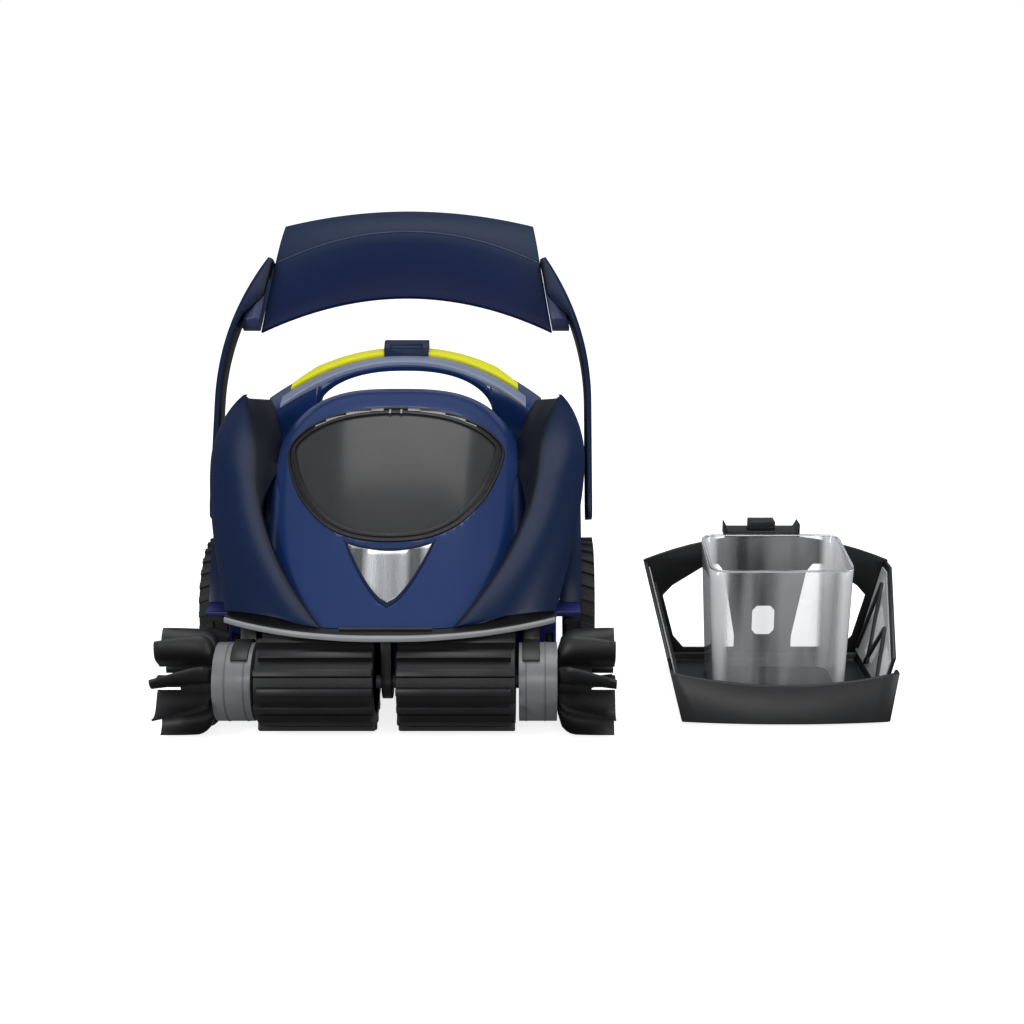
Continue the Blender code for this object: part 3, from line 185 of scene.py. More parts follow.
def blend(tree, share, first, second):
    """Mix two colours by a share; the second is a socket or a plain colour."""
    node = tree.nodes.new("ShaderNodeMix")
    node.data_type = "RGBA"
    tree.links.new(share, node.inputs["Factor"])
    tree.links.new(first, node.inputs[6])
    if isinstance(second, tuple):
        node.inputs[7].default_value = (*second, 1)
    else:
        tree.links.new(second, node.inputs[7])
    return node.outputs[2]


def parts_of(tree, vector):
    """X, Y and Z of a vector."""
    node = tree.nodes.new("ShaderNodeSeparateXYZ")
    tree.links.new(vector, node.inputs["Vector"])
    return node.outputs


def noise(tree, vector, scale, detail=2.0):
    node = tree.nodes.new("ShaderNodeTexNoise")
    node.inputs["Scale"].default_value = scale
    node.inputs["Detail"].default_value = detail
    tree.links.new(vector, node.inputs["Vector"])
    return node


def grain_group():
    """Fine moulding grain: a bump normal and a little change of roughness."""
    group, given, result = new_group(
        "moulding_grain",
        [("Scale", "NodeSocketFloat", 900.0), ("Depth", "NodeSocketFloat", 0.1),
         ("Roughness", "NodeSocketFloat", 0.4), ("Spread", "NodeSocketFloat", 0.06)],
        [("Normal", "NodeSocketVector"), ("Roughness", "NodeSocketFloat")])
    link = group.links.new
    place = group.nodes.new("ShaderNodeTexCoord")
    fine = noise(group, place.outputs["Object"], 1.0, 3.0)
    link(given.outputs["Scale"], fine.inputs["Scale"])
    bump = group.nodes.new("ShaderNodeBump")
    bump.inputs["Distance"].default_value = 0.0004
    link(given.outputs["Depth"], bump.inputs["Strength"])
    link(fine.outputs["Fac"], bump.inputs["Height"])
    slow = noise(group, place.outputs["Object"], 22.0, 4.0)
    centred = maths(group, "SUBTRACT", slow.outputs["Fac"], 0.5)
    rough = maths(group, "MULTIPLY_ADD", centred, given.outputs["Spread"], given.outputs["Roughness"])
    link(bump.outputs["Normal"], result.inputs["Normal"])
    link(rough, result.inputs["Roughness"])
    return group


def tone_group():
    """Slow drift between two tones."""
    group, given, result = new_group(
        "tone_drift",
        [("Base", "NodeSocketColor", None), ("Other", "NodeSocketColor", None),
         ("Scale", "NodeSocketFloat", 14.0), ("Amount", "NodeSocketFloat", 0.5)],
        [("Color", "NodeSocketColor")])
    link = group.links.new
    place = group.nodes.new("ShaderNodeTexCoord")
    cloud = noise(group, place.outputs["Object"], 1.0, 5.0)
    cloud.inputs["Roughness"].default_value = 0.6
    link(given.outputs["Scale"], cloud.inputs["Scale"])
    patches = graded(group, cloud.outputs["Fac"], (0.35, 0.70))
    share = maths(group, "MULTIPLY", patches, given.outputs["Amount"])
    link(blend(group, share, given.outputs["Base"], given.outputs["Other"]), result.inputs["Color"])
    return group


def wear_group():
    """Paler corners: a mask from how sharply the surface turns, broken up by noise."""
    group, given, result = new_group(
        "rubbed_edges",
        [("Color", "NodeSocketColor", None), ("Worn", "NodeSocketColor", None),
         ("Amount", "NodeSocketFloat", 0.4)],
        [("Color", "NodeSocketColor")])
    link = group.links.new
    shape = group.nodes.new("ShaderNodeNewGeometry")
    edge = graded(group, shape.outputs["Pointiness"], (0.515, 0.62))
    place = group.nodes.new("ShaderNodeTexCoord")
    patches = noise(group, place.outputs["Object"], 60.0)
    broken = maths(group, "MULTIPLY", edge, patches.outputs["Fac"])
    share = maths(group, "MULTIPLY", broken, given.outputs["Amount"])
    link(blend(group, share, given.outputs["Color"], given.outputs["Worn"]), result.inputs["Color"])
    return group


GRAIN = grain_group()
TONE = tone_group()
WEAR = wear_group()

# %% One moulded finish, with its own numbers
def group_node(tree, group, **values):
    node = tree.nodes.new("ShaderNodeGroup")
    node.node_tree = group
    for label, value in values.items():
        node.inputs[label].default_value = value
    return node


def moulded(name, base, other, roughness, grain=0.08, scale=900.0, worn=None, metal=0.0, coat=0.0,
            drift=0.5, spread=0.06, wear=0.4, specular=0.5):
    material = bpy.data.materials.new(name)
    material.use_nodes = True
    tree = material.node_tree
    shader = tree.nodes["Principled BSDF"]
    tone = group_node(tree, TONE, Base=(*base, 1), Other=(*other, 1), Amount=drift)
    worn = worn or tuple(min(1.0, 2.2 * c + 0.03) for c in base)
    edges = group_node(tree, WEAR, Worn=(*worn, 1), Amount=wear)
    skin = group_node(tree, GRAIN, Scale=scale, Depth=grain, Roughness=roughness, Spread=spread)
    tree.links.new(tone.outputs["Color"], edges.inputs["Color"])
    tree.links.new(edges.outputs["Color"], shader.inputs["Base Color"])
    tree.links.new(skin.outputs["Normal"], shader.inputs["Normal"])
    tree.links.new(skin.outputs["Roughness"], shader.inputs["Roughness"])
    shader.inputs["Metallic"].default_value = metal
    shader.inputs["Specular IOR Level"].default_value = specular
    shader.inputs["Coat Weight"].default_value = coat
    shader.inputs["Coat Roughness"].default_value = 0.06
    return material


NAVY = moulded("navy_gloss", (0.0090, 0.0310, 0.125), (0.0105, 0.0350, 0.138), 0.25, grain=0.02, coat=0.30,
               wear=0.12, specular=0.35)
NAVY_WING = moulded("navy_wing", (0.0028, 0.0125, 0.048), (0.0036, 0.0145, 0.055), 0.34, grain=0.02,
                    wear=0.10, specular=0.20)
# The band's navy is darker than the navy gloss: painted shade for its front face; painted light on its top
# is mixed in below.
NAVY_BAND_PAINTED_LIGHT = moulded("navy_band_painted_light", (0.0012, 0.0080, 0.050), (0.0018, 0.0100, 0.058), 0.38, grain=0.02,
                    wear=0.10, specular=0.16)
# Paler blue for the crease bead: a painted highlight.
CREASE_PAINTED_HIGHLIGHT = moulded("crease_painted_highlight", (0.020, 0.036, 0.085), (0.028, 0.046, 0.100), 0.34, grain=0.02)
CLIP_BLUE = moulded("clip_blue", (0.030, 0.042, 0.110), (0.045, 0.060, 0.140), 0.40, grain=0.05)
CHASSIS_BLUE = moulded("chassis_blue", (0.006, 0.009, 0.100), (0.010, 0.014, 0.120), 0.42, grain=0.12)
BLACK = moulded("black_plastic", (0.008, 0.008, 0.009), (0.014, 0.014, 0.015), 0.38, grain=0.10)
RUBBER = moulded("black_rubber", (0.006, 0.006, 0.007), (0.012, 0.012, 0.012), 0.46, grain=0.16, scale=1400)
TYRE = moulded("tyre_rubber", (0.010, 0.010, 0.011), (0.018, 0.018, 0.018), 0.70, grain=0.25, scale=1200)
SATIN_GREY = moulded("grey_satin", (0.170, 0.172, 0.178), (0.205, 0.207, 0.212), 0.34, grain=0.06, coat=0.1)
TRIM_GREY = moulded("trim_grey", (0.300, 0.303, 0.312), (0.350, 0.352, 0.360), 0.34, grain=0.05)
INLAY_GREY = moulded("inlay_grey", (0.170, 0.205, 0.310), (0.210, 0.240, 0.340), 0.38, grain=0.08)
YELLOW = moulded("signal_yellow", (0.800, 0.790, 0.004), (0.860, 0.830, 0.010), 0.42, grain=0.10, wear=0.1)
STEEL = moulded("machined_steel", (0.520, 0.520, 0.530), (0.600, 0.600, 0.610), 0.28, grain=0.10, metal=1.0)
MOTOR = moulded("motor_grey", (0.090, 0.092, 0.100), (0.125, 0.126, 0.132), 0.48, grain=0.14)
FINISH = {"navy_gloss": NAVY, "navy_wing": NAVY_WING, "chassis_blue": CHASSIS_BLUE, "black_plastic": BLACK,
          "black_rubber": RUBBER, "tyre_rubber": TYRE, "grey_satin": SATIN_GREY, "light_grey": TRIM_GREY,
          "grey_inlay": INLAY_GREY, "yellow": YELLOW, "steel": STEEL, "motor_grey": MOTOR}

# %% [markdown]
# Some finishes need their own recipe: the smoked window, the brushed badge, the clear duct, and the
# filter mesh, whose weave is a pair of crossed waves that leave small holes.

# %% Special finishes
def own_recipe(name):
    """New material with its tree and its main shader."""
    material = bpy.data.materials.new(name)
    material.use_nodes = True
    return material, material.node_tree, material.node_tree.nodes["Principled BSDF"]


def smoked_pane():
    material = moulded("smoke_pane", (0.030, 0.030, 0.031), (0.052, 0.052, 0.053), 0.22, grain=0.01,
                       spread=0.05, wear=0.0)
    shader = material.node_tree.nodes["Principled BSDF"]
    shader.inputs["Coat Weight"].default_value = 0.25
    shader.inputs["Coat Roughness"].default_value = 0.16
    shader.inputs["Specular IOR Level"].default_value = 0.25
    return material


def brushed_badge():
    """Bright metal brushed from top to bottom: a noise stretched along the shield's height."""
    material, tree, shader = own_recipe("badge_metal")
    place = tree.nodes.new("ShaderNodeTexCoord")
    spread = tree.nodes.new("ShaderNodeMapping")
    spread.inputs["Scale"].default_value = (1.0, 0.02, 0.02)
    tree.links.new(place.outputs["Object"], spread.inputs["Vector"])
    streaks = noise(tree, spread.outputs["Vector"], 900.0)
    bands = noise(tree, spread.outputs["Vector"], 48.0, 1.0)
    ramp = tree.nodes.new("ShaderNodeValToRGB")
    ramp.color_ramp.elements[0].position = 0.36
    ramp.color_ramp.elements[0].color = (0.16, 0.165, 0.17, 1)
    ramp.color_ramp.elements[1].position = 0.62
    ramp.color_ramp.elements[1].color = (0.88, 0.89, 0.90, 1)
    tree.links.new(bands.outputs["Fac"], ramp.inputs["Fac"])
    tree.links.new(ramp.outputs["Color"], shader.inputs["Base Color"])
    rough = graded(tree, streaks.outputs["Fac"], to_range=(0.18, 0.34))
    tree.links.new(rough, shader.inputs["Roughness"])
    shader.inputs["Metallic"].default_value = 0.85
    return material


def clear_plastic():
    material, tree, shader = own_recipe("clear_duct")
    skin = group_node(tree, GRAIN, Scale=60.0, Depth=0.05, Roughness=0.05, Spread=0.03)
    tree.links.new(skin.outputs["Normal"], shader.inputs["Normal"])
    tree.links.new(skin.outputs["Roughness"], shader.inputs["Roughness"])
    tone = group_node(tree, TONE, Base=(0.93, 0.94, 0.95, 1), Other=(0.84, 0.85, 0.87, 1), Amount=0.5)
    tree.links.new(tone.outputs["Color"], shader.inputs["Base Color"])
    shader.inputs["Transmission Weight"].default_value = 1.0
    shader.inputs["IOR"].default_value = 1.35
    return material


def filter_weave():
    """Fine pale mesh, drawn as two crossed waves; the gaps between the threads let light through."""
    material, tree, shader = own_recipe("filter_mesh")
    place = tree.nodes.new("ShaderNodeTexCoord")
    waves = []
    for direction in ("Y", "Z"):
        wave = tree.nodes.new("ShaderNodeTexWave")
        wave.bands_direction = direction
        wave.inputs["Scale"].default_value = 260.0
        tree.links.new(place.outputs["Object"], wave.inputs["Vector"])
        waves.append(wave.outputs["Fac"])
    thread = maths(tree, "MAXIMUM", *waves)
    tint = tree.nodes.new("ShaderNodeValToRGB")
    tint.color_ramp.elements[0].color = (0.42, 0.43, 0.44, 1)
    tint.color_ramp.elements[1].color = (0.78, 0.79, 0.80, 1)
    tree.links.new(thread, tint.inputs["Fac"])
    tree.links.new(tint.outputs["Color"], shader.inputs["Base Color"])
    tree.links.new(graded(tree, thread, to_range=(0.30, 0.85)), shader.inputs["Alpha"])
    bump = tree.nodes.new("ShaderNodeBump")
    bump.inputs["Strength"].default_value = 0.4
    bump.inputs["Distance"].default_value = 0.0003
    tree.links.new(thread, bump.inputs["Height"])
    tree.links.new(bump.outputs["Normal"], shader.inputs["Normal"])
    shader.inputs["Roughness"].default_value = 0.6
    return material


def add_tone(material, share, tone):
    """Mix another tone into a finish by a share."""
    tree = material.node_tree
    shader = tree.nodes["Principled BSDF"]
    under = shader.inputs["Base Color"].links[0].from_socket
    tree.links.new(blend(tree, share, under, tone), shader.inputs["Base Color"])


def painted_light_on_top(material, light):
    """Painted light: mix a lighter tone in where the surface faces up, by the object's own normal, so the
    top looks lit.
    """
    tree = material.node_tree
    place = tree.nodes.new("ShaderNodeTexCoord")
    upward = parts_of(tree, place.outputs["Normal"])["Z"]
    add_tone(material, graded(tree, upward, (0.36, 0.70)), light)


def painted_shade_inside(material, dark):
    """Painted shade: mix a darker tone in where the surface faces the cleaner's plane of symmetry, on inner
    faces that stand in shade.
    """
    tree = material.node_tree
    place = tree.nodes.new("ShaderNodeTexCoord")
    facing = parts_of(tree, place.outputs["Normal"])["X"]
    off_plane = maths(tree, "SUBTRACT", parts_of(tree, place.outputs["Object"])["X"], ZERO.x)
    outward = maths(tree, "MULTIPLY", maths(tree, "SIGN", off_plane), facing)
    add_tone(material, graded(tree, outward, (-0.10, -0.32)), dark)


# Painted light: the band's top is lightened where it faces up.
painted_light_on_top(NAVY_BAND_PAINTED_LIGHT, (0.012, 0.024, 0.058))
# Painted shade on the wings' inner faces, towards the dome.
painted_shade_inside(NAVY_WING, (0.0010, 0.0030, 0.010))
FINISH["smoke_pane"] = smoked_pane()
FINISH["badge_metal"] = brushed_badge()
FINISH["clear_duct"] = clear_plastic()
FINISH["filter_mesh"] = filter_weave()

# %% [markdown]
# ## Making pieces
# Every new piece is drawn in the working frame and moved once, in its mesh, so its object stays at
# the origin.  `soften` bevels it, and `stand_in` puts it on its body and hides the nodes that it
# stands for.

# %% Mesh helpers
def applied(piece):
    """Turn live modifiers into plain mesh."""
    bpy.context.view_layer.update()
    graph = bpy.context.evaluated_depsgraph_get()
    mesh = bpy.data.meshes.new_from_object(piece.evaluated_get(graph))
    piece.modifiers.clear()
    piece.data = mesh
    return piece


def draw(name, points, faces, finish, placed=True):
    """Mesh piece from working-frame points; a repeated item stays unplaced, about its own zero."""
    mesh = bpy.data.meshes.new(name)
    move = Vector((ZERO.x, ZERO.y, 0.0)) if placed else Vector()
    mesh.from_pydata([tuple(Vector(p) + move) for p in points], [], faces)
    work = bmesh.new()
    work.from_mesh(mesh)
    bmesh.ops.recalc_face_normals(work, faces=work.faces)
    work.to_mesh(mesh)
    work.free()
    piece = bpy.data.objects.new(name, mesh)
    piece.data.materials.append(FINISH[finish])
    bpy.context.scene.collection.objects.link(piece)
    return piece


def smooth(piece):
    """Smooth shading, broken where the surface turns sharply."""
    piece.data.shade_smooth()
    piece.data.set_sharp_from_angle(angle=math.radians(50))
    return piece


def soften(piece, width=0.0008, segments=2, angle=35):
    """Bevel every edge sharper than the angle."""
    bevel = piece.modifiers.new("bevel", "BEVEL")
    bevel.width = width
    bevel.segments = segments
    bevel.limit_method = "ANGLE"
    bevel.angle_limit = math.radians(angle)
    return smooth(applied(piece))


def stand_in(piece, slot, *nodes, body=None):
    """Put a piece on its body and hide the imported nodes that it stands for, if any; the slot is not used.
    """
    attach(piece, body or BODY_OF[nodes[0]])
    if nodes:
        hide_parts(*nodes)
    return piece


def loft(name, rings, finish, closed=False, placed=True):
    """Skin over rings of equal count: capped at both ends, or closed on itself."""
    count = len(rings[0])
    points = [point for ring in rings for point in ring]
    faces = []
    spans = len(rings) if closed else len(rings) - 1
    for i in range(spans):
        here = i * count
        there = ((i + 1) % len(rings)) * count
        for j in range(count):
            k = (j + 1) % count
            faces.append((here + j, here + k, there + k, there + j))
    if not closed:
        faces.append(tuple(range(count)))
        faces.append(tuple(range(len(points) - count, len(points))))
    return draw(name, points, faces, finish, placed)


def sheet(name, outer, inner, finish, placed=True):
    """Thin shell between two grids of points."""
    rows, columns = len(outer), len(outer[0])
    points = [p for row in outer for p in row] + [p for row in inner for p in row]
    back = rows * columns
    faces = []
    for i in range(rows - 1):
        for j in range(columns - 1):
            quad = [i * columns + j, i * columns + j + 1, (i + 1) * columns + j + 1, (i + 1) * columns + j]
            faces.append(quad)
            faces.append([back + corner for corner in reversed(quad)])
    for i in range(rows - 1):
        for j in (0, columns - 1):
            a, b = i * columns + j, (i + 1) * columns + j
            faces.append([a, b, back + b, back + a])
    for j in range(columns - 1):
        for i in (0, rows - 1):
            a, b = i * columns + j, i * columns + j + 1
            faces.append([a, b, back + b, back + a])
    return draw(name, points, faces, finish, placed)


def across(axis, along, first, second):
    """Point at a distance along an axis, with its two other coordinates in order."""
    if axis == "X":
        return Vector((along, first, second))
    if axis == "Y":
        return Vector((first, along, second))
    return Vector((first, second, along))


def prism(name, outline, axis, low, high, finish, placed=True):
    rings = [[across(axis, level, a, b) for a, b in outline] for level in (low, high)]
    return loft(name, rings, finish, placed=placed)


def circle(centre, radius, count=32, start=0.0, turn=360.0):
    steps = count if turn >= 360 else count + 1
    return [(centre[0] + radius * math.cos(math.radians(start + turn * k / count)),
             centre[1] + radius * math.sin(math.radians(start + turn * k / count))) for k in range(steps)]


def turned(name, profile, axis, centre, finish, count=64, closed=False):
    """Solid of revolution about an axis; the profile holds (place along it, radius)."""
    rings = [[across(axis, along, a, b) for a, b in circle(centre, radius, count)]
             for along, radius in profile]
    return loft(name, rings, finish, closed)


def trim(piece, tool, operation):
    """Boolean with a tool that is then thrown away."""
    cutter = piece.modifiers.new(operation, "BOOLEAN")
    cutter.operation = operation
    cutter.solver = "EXACT"
    cutter.object = tool
    applied(piece)
    bpy.data.objects.remove(tool, do_unlink=True)
    return piece


def bezier(controls, t):
    weights = ((1 - t) ** 3, 3 * t * (1 - t) ** 2, 3 * t * t * (1 - t), t ** 3)
    return [sum(w * p[i] for w, p in zip(weights, controls)) for i in range(len(controls[0]))]


# The canister's side frames lean, so their faces aren't flat enough to be joined into one.
LEANING = ("left_canister_side", "right_canister_side")


def softened_copy(node, width=0.0006, segments=2):
    """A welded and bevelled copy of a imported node, which stands for it."""
    source = frame["nodes"][node]
    mesh = source.data.copy()
    work = bmesh.new()
    work.from_mesh(mesh)
    bmesh.ops.remove_doubles(work, verts=work.verts, dist=0.00001)
    if node not in LEANING:
        bmesh.ops.dissolve_limit(work, angle_limit=math.radians(2), verts=work.verts, edges=work.edges)
    work.to_mesh(mesh)
    work.free()
    copy = bpy.data.objects.new(node + "_soft", mesh)
    bpy.context.scene.collection.objects.link(copy)
    slot = SLOT_OF[node]
    mesh.materials.clear()
    mesh.materials.append(FINISH[slot])
    soften(copy, width, segments)
    return stand_in(copy, slot, node)


def hit_skin(node, origin, aim):
    """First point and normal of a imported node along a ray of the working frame."""
    mesh = frame["nodes"][node].data
    move = frame["nodes"][node].location - Vector((ZERO.x, ZERO.y, 0.0))
    skin = BVHTree.FromPolygons([v.co + move for v in mesh.vertices], [p.vertices for p in mesh.polygons])
    place, normal, index, distance = skin.ray_cast(Vector(origin), Vector(aim).normalized())
    return place, normal

# %% [markdown]
# ## Repeated details
# Blades, lamellae, lugs, ribs and screws repeat, so geometry nodes place them.  One tree turns an
# item about the X axis; the other puts it at marked points, each with its own turn and size.

# %% Geometry node trees
def node_group(name, inputs):
    tree = bpy.data.node_groups.new(name, "GeometryNodeTree")
    tree.interface.new_socket(name="Geometry", in_out="INPUT", socket_type="NodeSocketGeometry")
    for label, kind in inputs:
        tree.interface.new_socket(name=label, in_out="INPUT", socket_type=kind)
    tree.interface.new_socket(name="Geometry", in_out="OUTPUT", socket_type="NodeSocketGeometry")
    return tree, tree.nodes.new("NodeGroupInput"), tree.nodes.new("NodeGroupOutput")


def end_tree(tree, given, result, placed):
    """Instance the item, make it real and give it its finish."""
    item = tree.nodes.new("GeometryNodeObjectInfo")
    tree.links.new(given.outputs["Item"], item.inputs["Object"])
    tree.links.new(item.outputs["Geometry"], placed.inputs["Instance"])
    real = tree.nodes.new("GeometryNodeRealizeInstances")
    tree.links.new(placed.outputs["Instances"], real.inputs["Geometry"])
    coat = tree.nodes.new("GeometryNodeSetMaterial")
    tree.links.new(real.outputs["Geometry"], coat.inputs["Geometry"])
    tree.links.new(given.outputs["Finish"], coat.inputs["Material"])
    tree.links.new(coat.outputs["Geometry"], result.inputs["Geometry"])
    return tree


def ring_tree():
    """Count copies turned about X round a centre; every other one is scaled along X by Step."""
    tree, given, result = node_group(
        "ring_about_x", [("Item", "NodeSocketObject"), ("Count", "NodeSocketInt"),
                         ("Phase", "NodeSocketFloat"), ("Step", "NodeSocketFloat"),
                         ("Centre", "NodeSocketVector"), ("Finish", "NodeSocketMaterial")])
    link = tree.links.new
    points = tree.nodes.new("GeometryNodePoints")
    link(given.outputs["Count"], points.inputs["Count"])
    link(given.outputs["Centre"], points.inputs["Position"])
    index = tree.nodes.new("GeometryNodeInputIndex").outputs[0]
    share = maths(tree, "DIVIDE", maths(tree, "MULTIPLY", index, 2 * math.pi), given.outputs["Count"])
    turn = tree.nodes.new("ShaderNodeCombineXYZ")
    link(maths(tree, "ADD", share, given.outputs["Phase"]), turn.inputs["X"])
    odd = maths(tree, "MODULO", index, 2.0)
    size = tree.nodes.new("ShaderNodeCombineXYZ")
    less = maths(tree, "MULTIPLY", odd, given.outputs["Step"])
    link(maths(tree, "SUBTRACT", 1.0, less), size.inputs["X"])
    size.inputs["Y"].default_value = 1.0
    size.inputs["Z"].default_value = 1.0
    placed = tree.nodes.new("GeometryNodeInstanceOnPoints")
    link(points.outputs[0], placed.inputs["Points"])
    link(turn.outputs[0], placed.inputs["Rotation"])
    link(size.outputs[0], placed.inputs["Scale"])
    return end_tree(tree, given, result, placed)


def marked_tree():
    """A copy at every vertex of the marker mesh, with its stored turn and size."""
    tree, given, result = node_group(
        "at_marks", [("Item", "NodeSocketObject"), ("Finish", "NodeSocketMaterial")])
    link = tree.links.new
    placed = tree.nodes.new("GeometryNodeInstanceOnPoints")
    link(given.outputs["Geometry"], placed.inputs["Points"])
    for label, socket in (("turn", "Rotation"), ("size", "Scale")):
        stored = tree.nodes.new("GeometryNodeInputNamedAttribute")
        stored.data_type = "FLOAT_VECTOR"
        stored.inputs["Name"].default_value = label
        link(stored.outputs["Attribute"], placed.inputs[socket])
    return end_tree(tree, given, result, placed)


RING = ring_tree()
MARKS = marked_tree()


def grow(holder, tree, **values):
    """Run a tree on a holder object, setting its named inputs, and keep the result as mesh."""
    modifier = holder.modifiers.new(tree.name, "NODES")
    modifier.node_group = tree
    for entry in tree.interface.items_tree:
        label = entry.name.lower()
        if entry.item_type == "SOCKET" and entry.in_out == "INPUT" and label in values:
            modifier[entry.identifier] = values[label]
    applied(holder)
    bpy.data.objects.remove(values["item"], do_unlink=True)
    return smooth(holder)


def ring(name, item, count, centre, finish, phase=0.0, step=0.0):
    """Copies of an item turned about X; every other one is shorter by the step."""
    holder = draw(name, [], [], finish)
    place = (ZERO.x + centre[0], ZERO.y + centre[1], centre[2])
    return grow(holder, RING, item=item, count=count, phase=math.radians(phase), step=step, centre=place,
                finish=FINISH[finish])


def at_marks(name, item, marks, finish):
    """Marks are (place, turn, size) in the working frame."""
    holder = draw(name, [place for place, turn, size in marks], [], finish)
    for label, column in (("turn", 1), ("size", 2)):
        stored = holder.data.attributes.new(label, "FLOAT_VECTOR", "POINT")
        stored.data.foreach_set("vector", [v for mark in marks for v in mark[column]])
    return grow(holder, MARKS, item=item, finish=FINISH[finish])


# %% [markdown]
# ## The cover
# The dome's cross section is a squared-off arch.  Its centre line is one curve from nose to rear,
# and every other section is that curve drawn in towards the point where the flanks gather.

# %% Dome, gasket and window
DOME_HALF = 0.130
DOME_FOOT = (0.165, 0.100)
DOME_NOSE = (-0.006, PLATE_TOP + 0.0006)


def dome_point(x, t, inward=0.0):
    """Point of the dome at a distance from the plane of symmetry and a share from nose to rear."""
    ratio = (1 - (abs(x) / DOME_HALF) ** 3) ** (1 / 3)
    y, z = bezier((DOME_NOSE, (0.079, 0.206), (0.140, 0.301), (0.196, 0.268)), t)
    dy, dz = y - DOME_FOOT[0], z - DOME_FOOT[1]
    reach = math.hypot(dy, dz)
    shrink = ratio * (reach - inward / max(ratio, 0.35)) / reach
    return Vector((x, DOME_FOOT[0] + dy * shrink, DOME_FOOT[1] + dz * shrink))


def dome_sheet(name, finish, outward=0.0, inward=0.003, columns=88, rows=64):
    """The dome's whole surface as a shell, which the other cover pieces are cut from."""
    stations = [(DOME_HALF - 0.002) * math.copysign(abs(s) ** 0.8, s)
                for s in [2 * i / columns - 1 for i in range(columns + 1)]]
    ts = [j / rows for j in range(rows + 1)]
    return sheet(name, [[dome_point(x, t, -outward) for t in ts] for x in stations],
                 [[dome_point(x, t, inward) for t in ts] for x in stations], finish)


WINDOW_BASE = Vector((0.0, 0.050, 0.164))
WINDOW_UP = Vector((0.0, 0.630, 0.777)).normalized()
WINDOW_OUT = Vector((0.0, -0.777, 0.630)).normalized()
# Right half of the window's outline, from its top middle to its foot, on the window's plane.
WINDOW_SHAPE = ((0.0, 0.130), (0.028, 0.128), (0.052, 0.124), (0.072, 0.1175), (0.086, 0.1105),
                (0.0965, 0.1005), (0.0950, 0.084), (0.0895, 0.066), (0.082, 0.048), (0.071, 0.031),
                (0.056, 0.015), (0.037, 0.0045), (0.018, 0.0002), (0.0, -0.0008))


def smooth_loop(points, fine=5):
    """Closed Catmull-Rom curve through the points."""
    count = len(points)
    line = []
    for k in range(count):
        a, b, c, d = [Vector(points[(k + step) % count]) for step in (-1, 0, 1, 2)]
        for j in range(fine):
            t = j / fine
            line.append(0.5 * (2 * b + (c - a) * t + (2 * a - 5 * b + 4 * c - d) * t * t
                               + (3 * b - a - 3 * c + d) * t ** 3))
    return line


def window_line(margin):
    """Rounded shield: a shallow arch on top, full shoulders and a round foot, offset by a margin."""
    right = [(0.965 * x, 0.002 + 0.962 * v) for x, v in WINDOW_SHAPE]
    line = smooth_loop(right + [(-x, v) for x, v in reversed(right[1:-1])])
    moved = []
    for k, point in enumerate(line):
        along = (line[(k + 1) % len(line)] - line[k - 1]).normalized()
        moved.append(tuple(point + Vector((-along.y, along.x)) * margin))
    return moved


def shield_line(margin, fine=14):
    """The badge's outline: a sagging top edge and two flanks that meet in a point."""
    half, top, tip = 0.037 + margin, -0.0075 + margin, -0.062 - 1.3 * margin
    sag = 0.0075
    line = [(half * s, top - sag * (1 - s ** 2)) for s in [2 * k / fine - 1 for k in range(fine + 1)]]
    flank = [(half * (1 - s) ** 0.66, top + (tip - top) * s ** 0.97)
             for s in [k / fine for k in range(1, fine + 1)]]
    return line + flank + [(-x, v) for x, v in reversed(flank[:-1])]


def punch(line, depth=0.060):
    """A solid that stands on both sides of the window's plane, used as a cutter."""
    outline = [WINDOW_BASE + WINDOW_UP * v + Vector((x, 0, 0)) for x, v in line]
    return loft("hole", [[point + WINDOW_OUT * off for point in outline] for off in (-depth, depth)],
                "black_rubber")


GASKET = 0.0070
BADGE_SEAT = 0.0042


def make_dome():
    dome = dome_sheet("dome_skin", "navy_gloss")
    trim(dome, punch(window_line(GASKET + 0.0003)), "DIFFERENCE")
    trim(dome, punch(shield_line(BADGE_SEAT)), "DIFFERENCE")
    stand_in(soften(dome, 0.0009, 3, 40), "navy_gloss", "dome_shell")
    bands = ((GASKET, 0.0050, 0.0016), (0.0049, 0.0026, 0.0002), (0.0025, -0.0008, 0.0014))
    for number, (outer, inner, lift) in enumerate(bands):
        band = dome_sheet(f"gasket_band_{number}", "black_rubber", outward=lift)
        trim(band, punch(window_line(outer)), "INTERSECT")
        trim(band, punch(window_line(inner)), "DIFFERENCE")
        stand_in(soften(band, 0.0003), "black_rubber", "window_gasket")
    pane = dome_sheet("window_glass", "smoke_pane", outward=-0.0008)
    trim(pane, punch(window_line(0.0)), "INTERSECT")
    stand_in(soften(pane, 0.0006, 3), "smoke_pane", "window_pane")


make_dome()

# %% [markdown]
# The badge is a blank shield of brushed metal that sits in a raised navy rim.

# %% Badge
def make_badge():
    rim = dome_sheet("badge_rim", "navy_wing", outward=0.0010)
    trim(rim, punch(shield_line(BADGE_SEAT - 0.0003)), "INTERSECT")
    trim(rim, punch(shield_line(0.0006)), "DIFFERENCE")
    stand_in(soften(rim, 0.0006), "navy_wing", body="cover")
    plate = dome_sheet("badge_shield", "badge_metal", outward=0.0004)
    trim(plate, punch(shield_line(0.0004)), "INTERSECT")
    stand_in(soften(plate, 0.0005), "badge_metal", "badge_plate")


make_badge()

# %% [markdown]
# Each wing is a leaf of plastic between two curves: one beside the dome, one along the flank.  Both
# start at the bumper and meet in the swept tip.

